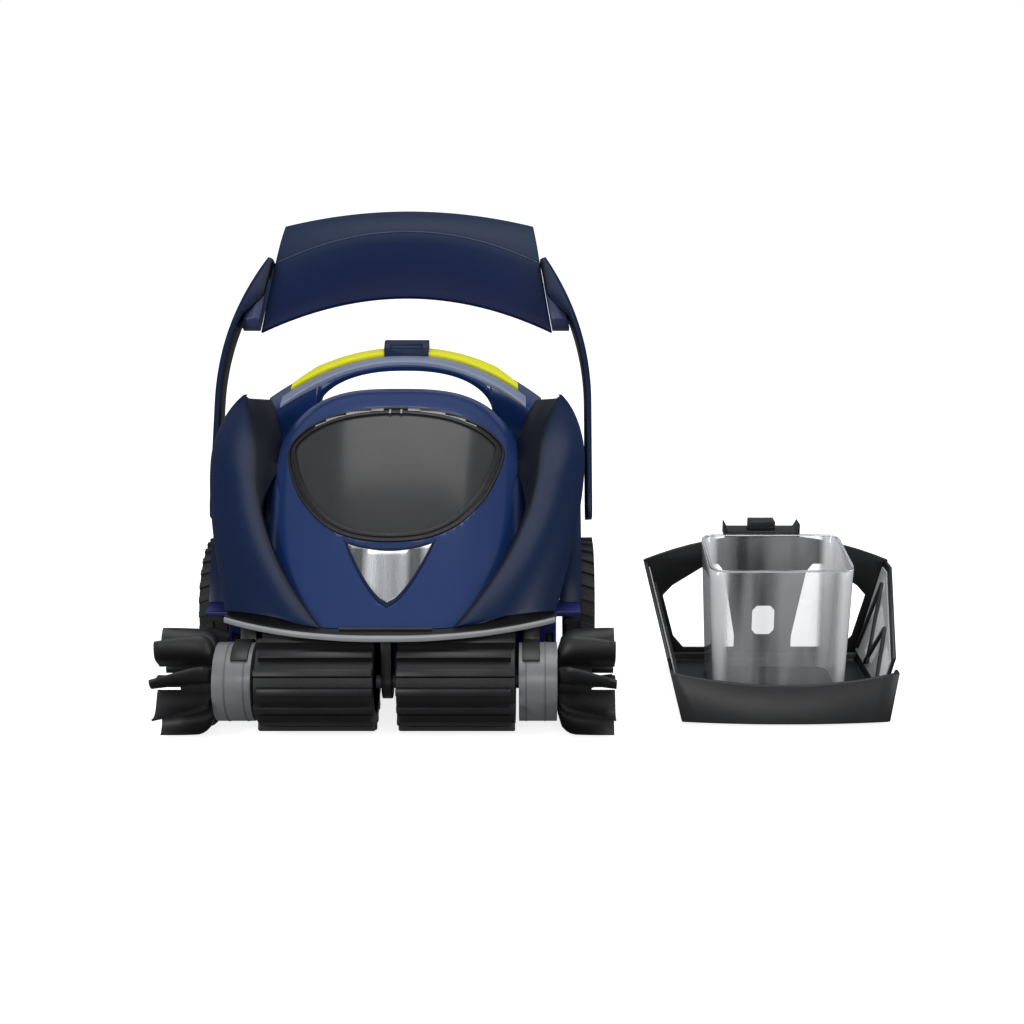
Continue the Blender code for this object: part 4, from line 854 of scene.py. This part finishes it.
# %% Wings
# Each edge is two curves that join at the share WING_JOIN of the way from bumper to tip.
WING_JOIN = 0.62
INNER_LOW = ((0.058, -0.0055, 0.0986), (0.092, 0.022, 0.130), (0.118, 0.070, 0.160), (0.1285, 0.112, 0.202))
INNER_HIGH = ((0.1285, 0.112, 0.202), (0.1305, 0.138, 0.222), (0.130, 0.158, 0.243), (0.1525, 0.213, 0.262))
OUTER_LOW = ((0.1475, 0.038, 0.0986), (0.158, 0.066, 0.130), (0.174, 0.105, 0.172), (0.1755, 0.140, 0.212))
OUTER_HIGH = ((0.1755, 0.140, 0.212), (0.1765, 0.160, 0.234), (0.168, 0.192, 0.254),
              (0.1535, 0.2135, 0.2635))


def wing_edge(controls_low, controls_high, s):
    if s < WING_JOIN:
        return Vector(bezier(controls_low, s / WING_JOIN))
    return Vector(bezier(controls_high, (s - WING_JOIN) / (1 - WING_JOIN)))


def wing_row(side, s, thick):
    """Points across the wing: a flange behind the dome, the bulging leaf, and the turned-in lip."""
    first = wing_edge(INNER_LOW, INNER_HIGH, s)
    last = wing_edge(OUTER_LOW, OUTER_HIGH, s)
    width = (last - first).length
    rise = Vector((0.25, -0.78, 0.57)) * 0.12 * width
    row = [first.lerp(last, w) + rise * (4 * w * (1 - w)) ** 0.8 for w in [k / 24 for k in range(25)]]
    fold = min(1.0, max(0.0, (s - 0.48) / 0.22))
    flange = Vector((-0.019, 0.014, -0.004)) * fold * fold * (3 - 2 * fold)
    row = [first + flange, first + flange * 0.4] + row
    lip = 0.012 * min(1.0, 6 * (1 - s) + 0.15)
    row += [last + Vector((-0.0004, 0.5 * lip, 0)), last + Vector((-0.0012, lip, 0))]
    if thick:
        deep = []
        for k, point in enumerate(row):
            turn = min(1.0, max(0.0, (k - 22) / 5))
            inner = Vector((-0.35, 0.80, -0.30)).lerp(Vector((-0.95, 0.25, -0.10)), turn).normalized()
            deep.append(point + inner * thick)
        row = deep
    return [Vector((side * p.x, p.y, p.z)) for p in row]


def make_wings():
    steps = [i / 46 for i in range(46)] + [0.985]
    for label, side in SIDES.items():
        wing = sheet(label + "_wing_skin", [wing_row(side, s, 0.0) for s in steps],
                     [wing_row(side, s, 0.003) for s in steps], "navy_wing")
        soften(wing, 0.0007, 3, 32)
        stand_in(wing, "navy_wing", label + "_wing")


make_wings()

# %% [markdown]
# A ribbed strip runs along the two halves of the window's top edge, with a small clip between whose two
# glints are painted as two light-grey pieces.

# %% Window strip and clip
def rib_item():
    outline = [(-0.0007, -0.0013), (0.0007, -0.0013), (0.0004, 0.0013), (-0.0004, 0.0013)]
    return prism("rib", outline, "Z", -0.0004, 0.0006, "black_rubber", placed=False)


def on_window(x, v, lift):
    """Point of the dome's surface in front of a place on the window's plane."""
    base = WINDOW_BASE + WINDOW_UP * v + Vector((x, 0, 0))
    best = min((dome_point(x, t / 80) for t in range(81)),
               key=lambda p: (Vector((0, p.y, p.z)) - base).cross(WINDOW_OUT).length)
    return best + WINDOW_OUT * lift


def make_window_strip():
    upright = math.atan2(WINDOW_OUT.z, WINDOW_OUT.y) - math.pi / 2
    marks = []
    for side in (-1, 1):
        for k in range(44):
            x = side * (0.012 + 0.062 * k / 43)
            v = 0.1310 - 2.3 * abs(x) ** 2 - 0.00003 / (0.084 - abs(x))
            marks.append((on_window(x, v, 0.0006), (upright, 0.0, 0.0), (1.0, 1.0, 1.0)))
    strip = at_marks("window_ribs", rib_item(), marks, "light_grey")
    stand_in(strip, "black_rubber", "window_gasket")
    # Painted glints: the clip is drawn as two small light-grey pieces.
    for x in (-0.0052, 0.0052):
        foot = on_window(x, 0.1305, 0.0002)
        head = on_window(x, 0.1245, 0.0012)
        section = ((-0.0011, 0.0), (0.0011, 0.0), (0.0008, 0.0014), (-0.0008, 0.0014))
        rings = [[p + Vector((a, 0, 0)) + WINDOW_OUT * b for a, b in section] for p in (foot, head)]
        stand_in(soften(loft("window_clip", rings, "light_grey"), 0.0003), "black_rubber", body="cover")


make_window_strip()

# %% [markdown]
# ## Lift hoop
# The band is deep in front, creased, and narrows over the top.  The arms are flat straps that sweep
# up and run in behind its ends, where faceted clips hold them.

# %% Hoop
HOOP_PIVOT = (0.172, 0.158)
HOOP_LEAN = math.radians(28.4)
HOOP_ALONG = Vector((0.0, math.sin(HOOP_LEAN), math.cos(HOOP_LEAN)))
HOOP_OFF = Vector((0.0, math.cos(HOOP_LEAN), -math.sin(HOOP_LEAN)))


def hoop_point(x, height, off):
    return Vector((x, HOOP_PIVOT[0], HOOP_PIVOT[1])) + HOOP_ALONG * height + HOOP_OFF * off


def arm_x(height):
    return 0.1805 - 0.0425 * max(0.0, (height - 0.105) / 0.151) ** 2.05


def make_arm(label, side):
    rings = []
    for k in range(49):
        height = -0.010 + 0.2685 * k / 48
        slope = (arm_x(height + 0.001) - arm_x(height - 0.001)) / 0.002
        normal = Vector((1.0, -slope)).normalized() * 0.0035
        share = max(0.0, (height - 0.15) / 0.11)
        front = -0.013 + 0.010 * share * share
        rear = 0.009 + 0.003 * share
        if height < 0.004:
            front, rear = -0.013 + 0.3 * (0.004 - height), 0.009 - 0.15 * (0.004 - height)
        web = arm_x(height) - normal.x
        if height > 0.196:
            reach = min(1.0, (height - 0.196) / 0.022)
            web += reach * (min(web, 0.1466 - 0.17 * (height - 0.186)) - web)
        corners = []
        for n, off in ((-1, front), (0, front - 0.001), (1, front + 0.0015), (1, rear - 0.0015), (-1, rear)):
            x = web if n < 0 else arm_x(height) + n * normal.x
            corners.append(hoop_point(side * x, height + n * normal.y, off))
        rings.append(corners)
    arm = soften(loft(label + "_arm", rings, "navy_wing"), 0.0009, 2)
    stand_in(arm, "navy_wing", label + "_hoop_arm")
    profile = [(side * 0.1772, 0.0072), (side * 0.1836, 0.0072), (side * 0.1840, 0.0062)]
    cap = turned(label + "_pin_cap", profile, "X", HOOP_PIVOT, "navy_wing")
    stand_in(soften(cap, 0.0004), "steel", label + "_hoop_pin", body="chassis")


BAND_STEPS = 6


def band_row(share):
    """Section of the band: from its lower edge up to the crease and over to its back."""
    ease = abs(share) ** 2
    lower = hoop_point(0.146 * share, 0.221 - 0.036 * ease, 0.0085 + 0.0030 * ease)
    crease = hoop_point(0.134 * share, 0.288 - 0.032 * ease, 0.007 * ease)
    back = hoop_point(0.127 * share, 0.316 - 0.014 * ease, 0.012 + 0.006 * ease)
    front = [lower.lerp(crease, t) - Vector((0, 0.0018 * math.sin(math.pi * t), 0))
             for t in [k / BAND_STEPS for k in range(BAND_STEPS + 1)]]
    top = [crease.lerp(back, t) + Vector((0, 0, 0.0022 * math.sin(math.pi * t)))
           for t in (0.25, 0.5, 0.75, 1.0)]
    return front + top


def make_hoop():
    for label, side in SIDES.items():
        make_arm(label, side)
        rings = []
        for height, front in ((0.186, 0.003), (0.193, -0.004), (0.212, -0.006), (0.238, -0.002)):
            outer = arm_x(height) - 0.0052
            inner = 0.1462 - 0.17 * (height - 0.186)
            rings.append([hoop_point(side * x, height, off) for x, off in
                          ((inner, front), ((inner + outer) / 2, front - 0.002), (outer, front),
                           (outer, 0.0125), (inner, 0.0125))])
        clip = soften(loft(label + "_clip", rings, "grey_inlay"), 0.0008, 2, 20)
        clip.data.materials[0] = CLIP_BLUE
        stand_in(clip, "grey_inlay", label + "_hoop_clip")
    shares = [2 * k / 72 - 1 for k in range(73)]
    outer = [band_row(s) for s in shares]
    inner = [[p + Vector((0, 0.0030, -0.0026)) for p in row] for row in outer]
    band = soften(sheet("band", outer, inner, "navy_gloss"), 0.0010, 3, 28)
    # The band's darker navy, with painted shade in front and painted light on top.
    band.data.materials[0] = NAVY_BAND_PAINTED_LIGHT
    stand_in(band, "navy_gloss", "hoop_band")


def make_crease():
    """Narrow bead along the band's crease, in a paler blue that paints a highlight along it."""
    rings = []
    for k in range(73):
        crease = band_row(1.98 * k / 72 - 0.99)[BAND_STEPS]
        rings.append([crease + Vector((0, y, z)) for y, z in
                      ((0.0006, -0.0009), (-0.0007, -0.0006), (-0.0005, 0.0006), (0.0009, 0.0008))])
    bead = soften(loft("band_crease", rings, "navy_gloss"), 0.0002)
    # Painted highlight: the bead is paler than the band.
    bead.data.materials[0] = CREASE_PAINTED_HIGHLIGHT
    stand_in(bead, "navy_gloss", "hoop_band")


make_hoop()
make_crease()

# %% [markdown]
# ## Handle
# The bar thickens into its feet round an opening with full corners.  A grey and a yellow inlay run
# along its top behind one another, and the latch button sits over both.

# %% Handle
HANDLE_HALF = 0.135
GREY_HALF = 0.120
YELLOW_HALF = 0.112


def rear_height(x, y):
    """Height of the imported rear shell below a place."""
    place, normal = hit_skin("rear_shell", (x, y, 0.5), (0, 0, -1))
    return place.z if place else 0.20


def handle_row(x):
    """Section of the handle: front face, top with its two edges, rear face, over the opening's arch."""
    s = abs(x) / HANDLE_HALF
    front_y, rear_y = 0.250 - 0.050 * s * s, 0.285 - 0.040 * s * s
    front_z, rear_z = 0.288 - 0.048 * s ** 2.2, 0.293 - 0.040 * s ** 2.2
    inside = min(1.0, abs(x) / 0.0868)
    under = 0.2790 - 0.040 * (1 - (1 - inside ** 2.5) ** (1 / 2.1)) if inside < 1 else 0.0
    seat_front, seat_rear = rear_height(x, front_y) + 0.0005, rear_height(x, rear_y) + 0.0005
    low_front, low_rear = max(under, seat_front), max(under + 0.002, seat_rear)
    low_front, low_rear = min(low_front, front_z - 0.001), min(low_rear, rear_z - 0.001)
    bulge = 0.0022 * min(1.0, (front_z - low_front) / 0.012)
    section = ((front_y + 0.0006, low_front), (front_y - bulge, (low_front + front_z) / 2),
               (front_y + 0.0004, front_z), (front_y + 0.003, front_z + 0.0015),
               (rear_y - 0.003, rear_z + 0.0005), (rear_y, rear_z), (rear_y, low_rear))
    return [Vector((x, y, z)) for y, z in section]


def handle_strip(name, half, near, far, lift, finish, *nodes):
    rings = []
    for k in range(61):
        x = half * (2 * k / 60 - 1)
        row = handle_row(x)
        a, b = row[3], row[4]
        up = Vector((0, a.z - b.z, b.y - a.y)).normalized()
        taper = 1 - 0.55 * max(0.0, abs(x) / half - 0.8) / 0.2
        start, stop = a.lerp(b, near), a.lerp(b, near + (far - near) * taper)
        rings.append([start + up * 0.0002, start + up * lift, stop + up * lift, stop + up * 0.0002])
    stand_in(soften(loft(name, rings, finish), 0.0005), finish, *nodes)


def make_handle():
    stations = sorted([HANDLE_HALF * (2 * k / 96 - 1) for k in range(97)]
                      + [side * x for side in (-1, 1) for x in (0.0840, 0.0852, 0.0860, 0.0866, 0.0869)])
    bar = soften(loft("handle_bar", [handle_row(x) for x in stations], "navy_gloss"), 0.0010, 3, 40)
    stand_in(bar, "navy_gloss", "handle_frame")
    rings = []
    for k in range(61):
        x = GREY_HALF * (2 * k / 60 - 1)
        row = handle_row(x)
        nose, edge, back = row[2], row[3], row[3].lerp(row[4], 0.36)
        deep = 0.0050 * (1 - 0.6 * (x / GREY_HALF) ** 4)
        low = Vector((0, -0.0014, -deep))
        rings.append([nose + low, nose + Vector((0, -0.0012, 0.0004)), edge + Vector((0, -0.0004, 0.0012)),
                      back + Vector((0, 0, 0.0018)), back + Vector((0, 0, 0.0002)),
                      nose + low * 0.9 + Vector((0, 0.0012, 0))])
    grey = soften(loft("grey_strip", rings, "grey_inlay"), 0.0004)
    stand_in(grey, "grey_inlay", "handle_grey_inlay")
    handle_strip("yellow_strip", YELLOW_HALF, 0.40, 1.0, 0.0046, "yellow", "handle_yellow_strip")
    outline = [(0.2605, 0.2885), (0.2630, 0.3005), (0.2700, 0.3058), (0.2800, 0.3058), (0.2815, 0.2950)]
    button = prism("latch", outline, "X", -0.0222, 0.0222, "navy_wing")
    dish = turned("dish", [(-0.016, 0.0052), (0.016, 0.0052)], "X", (0.2625, 0.3045), "navy_wing", 24)
    trim(button, dish, "DIFFERENCE")
    stand_in(soften(button, 0.0010, 3), "navy_wing", "latch_button")


make_handle()

# %% [markdown]
# ## Brushes
# Sixteen rubber lamellae stand round each roller's core, every other one a little shorter.  The
# paddles outside them have eight blades with a rounded heel, an S bend and a flat tip.

# %% Rollers
def lamella(side):
    rows = []
    for x in (0.0104, 0.0112, 0.1108, 0.1116):
        lift = 0.0 if 0.011 < x < 0.111 else -0.0008
        rows.append([Vector((side * x, a, b)) for a, b in
                     ((-0.0036, 0.0350), (0.0036, 0.0350), (0.0027, 0.0412), (0.0030, 0.0430 + lift),
                      (0.0022, 0.0434 + lift), (-0.0022, 0.0434 + lift), (-0.0030, 0.0430 + lift),
                      (-0.0027, 0.0412))])
    return loft("lamella", rows, "black_rubber", placed=False)


def make_roller(label, side):
    centre = (0.0, BRUSH_Z)
    bars = ring(label + "_lamellae", lamella(side), 16, (0.0, 0.0, BRUSH_Z), "black_rubber", 14.4, 0.030)
    stand_in(bars, "black_rubber", label + "_roller_sleeve")
    profile = [(side * 0.0100, 0.0290), (side * 0.0100, 0.0362), (side * 0.0108, 0.0370),
               (side * 0.1112, 0.0370), (side * 0.1120, 0.0362), (side * 0.1120, 0.0290)]
    core = soften(turned(label + "_roller_core", profile, "X", centre, "black_rubber", 96), 0.0004)
    stand_in(core, "black_rubber", label + "_roller_sleeve")


# %% Paddles
def blade(side):
    outer, inner = [], []
    for i in range(15):
        u = i / 14
        x = side * (0.1485 + 0.0498 * u)
        ease = min(1.0, u / 0.34)
        reach = 0.0285 + 0.0184 * (1 - (1 - ease) ** 2.2) ** 0.5
        front, back = [], []
        for k in range(11):
            r = k / 10
            radius = 0.0165 + (reach - 0.0165) * r
            lean = 0.26 * math.sin(math.pi * 0.95 * r) + 0.30 * (u - 0.45) * r
            half = (0.0021 - 0.0009 * r) / radius
            for row, turn in ((front, lean - half), (back, lean + half)):
                row.append(Vector((x, -radius * math.sin(turn), radius * math.cos(turn))))
        outer.append(front)
        inner.append(back)
    return sheet("blade", outer, inner, "black_rubber", placed=False)


def make_paddle(label, side):
    blades = ring(label + "_blades", blade(side), 8, (0.0, 0.0, BRUSH_Z), "black_rubber", 12.0)
    stand_in(blades, "black_rubber", label + "_paddle")
    profile = [(side * 0.1487, 0.0068), (side * 0.1487, 0.0190), (side * 0.1497, 0.0200),
               (side * 0.1760, 0.0196), (side * 0.1780, 0.0180), (side * 0.1780, 0.0068)]
    hub = soften(turned(label + "_paddle_hub", profile, "X", (0.0, BRUSH_Z), "black_rubber", 64), 0.0005)
    stand_in(hub, "black_rubber", label + "_paddle")


# %% Drums and tyres
def make_drum(label, side):
    softened_copy(label + "_drum", 0.0008, 3)
    for x in (0.1370, 0.1205):
        near, far = side * x, side * (x + 0.0012)
        profile = [(near, 0.0338), (near, 0.03478), (far, 0.03478), (far, 0.0338)]
        seam = turned(label + "_drum_seam", profile, "X", (0.0, BRUSH_Z), "grey_satin", 72, closed=True)
        seam.data.materials[0] = MOTOR
        stand_in(seam, "grey_satin", label + "_drum")


def lug(side, low, high, slant):
    rows = []
    for x, shift in ((low, -slant), (high, slant)):
        rows.append([Vector((side * x, a + shift, b)) for a, b in
                     ((-0.0036, 0.0600), (0.0036, 0.0600), (0.0026, 0.0653), (-0.0026, 0.0653))])
    return loft("lug", rows, "tyre_rubber", placed=False)


def make_tyre(label, side):
    centre = middle(label + "_tyre") - Vector((ZERO.x, ZERO.y, 0.0))
    axis = (centre.y, centre.z)
    a, b = side * 0.1562, side * 0.1848
    profile = [(a, 0.0504), (a, 0.0610), (a + side * 0.0025, 0.0632), (b - side * 0.0025, 0.0632),
               (b, 0.0610), (b, 0.0504)]
    tyre = soften(turned(label + "_tyre_body", profile, "X", axis, "tyre_rubber", 96, closed=True), 0.0006)
    stand_in(tyre, "tyre_rubber", label + "_tyre")
    for number, (low, high, slant) in enumerate(((0.1568, 0.1700, 0.0022), (0.1712, 0.1842, -0.0022))):
        tread = ring(f"{label}_tread_{number}", lug(side, low, high, slant), 30, (0.0, *axis),
                     "tyre_rubber", 6.0 * number)
        stand_in(tread, "tyre_rubber", label + "_tyre")


for label, side in SIDES.items():
    make_roller(label, side)
    make_paddle(label, side)
    make_drum(label, side)
    make_tyre(label, side)
print("brushes and tyres made")

# %% [markdown]
# ## Filter canister
# The duct is a clear square tube.  The pale streaks where its thick corners gather the light are painted
# into its colour, and so are fainter streaks over its panels; its rim catches the light on its own.

# %% Duct
def duct_with_painted_light():
    """Clear panels between pale corners, with painted light: a mask from the distance to the duct's middle
    paints pale glare at the corners, and stretched noise paints reflection streaks.
    """
    material, tree, shader = own_recipe("duct_painted_streaks")
    link = tree.links.new
    place = tree.nodes.new("ShaderNodeTexCoord")
    here = parts_of(tree, place.outputs["Object"])["X"]
    away = maths(tree, "ABSOLUTE", maths(tree, "SUBTRACT", here, CAN_X + ZERO.x))
    # Painted highlight: pale glare towards the duct's corners.
    painted_glare = graded(tree, away, (0.0470, 0.0560))
    painted_glare.node.interpolation_type = "SMOOTHSTEP"
    # Painted reflections: vertical light and dark streaks from stretched noise.
    stretched = tree.nodes.new("ShaderNodeMapping")
    stretched.inputs["Scale"].default_value = (2.0, 2.0, 0.10)
    link(place.outputs["Object"], stretched.inputs["Vector"])
    streaks = noise(tree, stretched.outputs["Vector"], 26.0, 1.0)
    tint = tree.nodes.new("ShaderNodeValToRGB")
    tint.color_ramp.elements[0].position = 0.34
    tint.color_ramp.elements[0].color = (0.20, 0.205, 0.215, 1)
    tint.color_ramp.elements[1].position = 0.60
    tint.color_ramp.elements[1].color = (0.90, 0.91, 0.92, 1)
    link(streaks.outputs["Fac"], tint.inputs["Fac"])
    link(blend(tree, painted_glare, tint.outputs["Color"], (0.96, 0.97, 0.98)), shader.inputs["Base Color"])
    link(graded(tree, painted_glare, to_range=(0.17, 0.90)), shader.inputs["Alpha"])
    skin = group_node(tree, GRAIN, Scale=80.0, Depth=0.05, Roughness=0.08, Spread=0.03)
    link(skin.outputs["Normal"], shader.inputs["Normal"])
    link(skin.outputs["Roughness"], shader.inputs["Roughness"])
    shader.inputs["Coat Weight"].default_value = 1.0
    return material


DUCT = duct_with_painted_light()


def duct_ring(z, half, near, far, inset, tilt, corner=0.014):
    """Rounded square round the duct; the tilt lifts it towards the back."""
    points = []
    for x, y, start in ((half - corner, far - corner, 0), (corner - half, far - corner, 90),
                        (corner - half, near + corner, 180), (half - corner, near + corner, 270)):
        points += [Vector((CAN_X + a, b, z + tilt * (b - near))) for a, b in
                   circle((x, y), corner - inset, 8, start, 90)]
    return points


DUCT_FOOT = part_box("canister_duct")[0][2]
DUCT_TOP = 0.1275
MOUTH = (0.0660, 0.0600, 0.1520)


def make_duct():
    levels = [(DUCT_FOOT, 0.060, 0.048, 0.145, 0.0), (DUCT_TOP - 0.010, 0.0653, 0.0590, 0.1513, 0.09),
              (DUCT_TOP, *MOUTH, 0.10)]
    outer = [duct_ring(z, half, near, far, 0.0, tilt) for z, half, near, far, tilt in levels]
    inner = [duct_ring(z, half, near, far, 0.0016, tilt) for z, half, near, far, tilt in reversed(levels)]
    duct = soften(loft("duct", outer + inner, "clear_duct", closed=True), 0.0004)
    duct.data.materials[0] = DUCT
    stand_in(duct, "clear_duct", "canister_duct")
    rim = [duct_ring(DUCT_TOP + lift, *MOUTH, inset, 0.10) for lift, inset in
           ((0.0004, 0.0002), (0.0016, 0.0002), (0.0016, 0.0032), (0.0004, 0.0032))]
    lip = soften(loft("duct_rim", rim, "clear_duct", closed=True), 0.0003)
    stand_in(lip, "clear_duct", "canister_duct")


make_duct()

# %% Ribs over the filter panels
def can_half(z):
    """Half width of the canister at a height: its sides lean outwards."""
    return 0.093 + 0.026 * (z - 0.003) / 0.105


SIDE_THICK = 0.0052


def slanted_bar(name, side, start, stop, width, depth=0.0026):
    """Bar on the inner face of a side frame, between two (Y, Z) places."""
    line = Vector((stop[0] - start[0], stop[1] - start[1])).normalized()
    off = Vector((-line.y, line.x)) * width / 2
    rings = []
    for y, z in (start, stop):
        corners = []
        for share, into in ((-1, 0.0), (1, 0.0), (0.7, depth), (-0.7, depth)):
            high = z + share * off.y
            x = CAN_X + side * (can_half(high) - SIDE_THICK - into)
            corners.append(Vector((x, y + share * off.x, high)))
        rings.append(corners)
    return soften(loft(name, rings, "black_plastic"), 0.0004)


def make_side_ribs():
    lines = (((0.066, 0.020), (0.092, 0.064)), ((0.118, 0.020), (0.092, 0.064)),
             ((0.110, 0.022), (0.142, 0.092)), ((0.156, 0.022), (0.142, 0.092)))
    for label, side in SIDES.items():
        for number, (start, stop) in enumerate(lines):
            bar = slanted_bar(f"{label}_rib_{number}", side, start, stop, 0.0052)
            stand_in(bar, "black_plastic", label + "_canister_side")


make_side_ribs()

# %% [markdown]
# ## The rest
# The imported nodes listed below are welded, cleaned of flat edges and bevelled.

# %% Softened copies
for node, width in (("bumper_plate", 0.0007), ("bumper_trim", 0.0008), ("centre_bearing", 0.0006),
                    ("chassis_pan", 0.0008), ("rear_shell", 0.0010), ("outlet_grille", 0.0005),
                    ("left_side_panel", 0.0010), ("right_side_panel", 0.0010), ("left_wheel_hub", 0.0008),
                    ("right_wheel_hub", 0.0008), ("canister_tray", 0.0014), ("canister_back", 0.0009),
                    ("left_canister_side", 0.0006), ("right_canister_side", 0.0006),
                    ("canister_bracket", 0.0008), ("canister_tab", 0.0008), ("cable_gland", 0.0008),
                    ("canister_bay", 0.0006), ("pump_case", 0.0006), ("inlet_flap", 0.0004)):
    softened_copy(node, width)

# %% [markdown]
# Small fastenings: countersunk screws along the pan and the side panels, and the cooling ribs on
# the pan's rear wall.

# %% Screws and ribs
def screw_item():
    """Round head with a cross recess, about the Z axis."""
    profile = ((-0.0004, 0.0031), (0.0006, 0.0031), (0.0010, 0.0024), (0.0010, 0.0003))
    rings = [[Vector((a, b, z)) for a, b in circle((0.0, 0.0), radius, 24)] for z, radius in profile]
    head = loft("screw", rings, "steel", placed=False)
    for turn in (0.0, math.pi / 2):
        c, s = math.cos(turn), math.sin(turn)
        outline = [(c * a - s * b, s * a + c * b) for a, b in
                   ((-0.0019, -0.0004), (0.0019, -0.0004), (0.0019, 0.0004), (-0.0019, 0.0004))]
        trim(head, prism("slot", outline, "Z", 0.0005, 0.0030, "steel", placed=False), "DIFFERENCE")
    return head


def surface_mark(node, origin, aim):
    """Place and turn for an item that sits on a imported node, found by a ray in the working frame."""
    place, normal = hit_skin(node, origin, aim)
    if place is None:
        return None
    return place, tuple(normal.to_track_quat("Z", "Y").to_euler()), (1.0, 1.0, 1.0)


def make_screws():
    jobs = {"chassis_pan": [((x, 0.40, 0.050), (0, -1, 0)) for x in (-0.135, -0.045, 0.025, 0.135)]
            + [((x, y, -0.05), (0, 0, 1)) for x in (-0.138, 0.138) for y in (0.062, 0.235, 0.286)],
            "left_side_panel": [((-0.30, y, z), (1, 0, 0)) for y, z in ((0.225, 0.135), (0.262, 0.120))],
            "right_side_panel": [((0.30, y, z), (-1, 0, 0)) for y, z in ((0.225, 0.135), (0.262, 0.120))]}
    for node, rays in jobs.items():
        marks = [mark for mark in (surface_mark(node, *ray) for ray in rays) if mark]
        if not marks:
            print("no surface for screws on", node)
            continue
        screws = at_marks(node + "_screws", screw_item(), marks, "steel")
        stand_in(screws, "steel", body=BODY_OF[node])
        print(node, len(marks), "screws")


def make_pan_ribs():
    sunk = 0.0002
    outline = [(-0.0012, -sunk), (0.0012, -sunk), (0.0008, 0.0016 - sunk), (-0.0008, 0.0016 - sunk)]
    item = prism("rib", outline, "Y", -0.016, 0.016, "chassis_blue", placed=False)
    marks = []
    for k in range(9):
        mark = surface_mark("chassis_pan", (-0.115 + 0.012 * k, 0.40, 0.068), (0, -1, 0))
        if mark:
            marks.append((mark[0], (-math.pi / 2, 0.0, 0.0), mark[2]))
    ribs = at_marks("pan_ribs", item, marks, "chassis_blue")
    stand_in(ribs, "chassis_blue", body=BODY_OF["chassis_pan"])


make_screws()
make_pan_ribs()

# %% Carry over the rest of the frame
for node, thing in frame["nodes"].items():
    thing.data.materials.clear()
    thing.data.materials.append(BLACK if node == "cover_hinge_pin" else FINISH[SLOT_OF[node]])

# %% Floor
def make_floor():
    bpy.ops.mesh.primitive_plane_add(size=40.0, location=(0.0, 0.0, -0.0005))
    floor = bpy.context.object
    floor.name = "studio_floor"
    material, tree, shader = own_recipe("studio_floor")
    shader.inputs["Base Color"].default_value = (0.90, 0.90, 0.90, 1)
    shader.inputs["Roughness"].default_value = 0.8
    shader.inputs["Emission Color"].default_value = (1.0, 1.0, 1.0, 1)
    shader.inputs["Emission Strength"].default_value = 0.80
    floor.visible_diffuse = False
    floor.visible_glossy = False
    floor.data.materials.append(material)


make_floor()
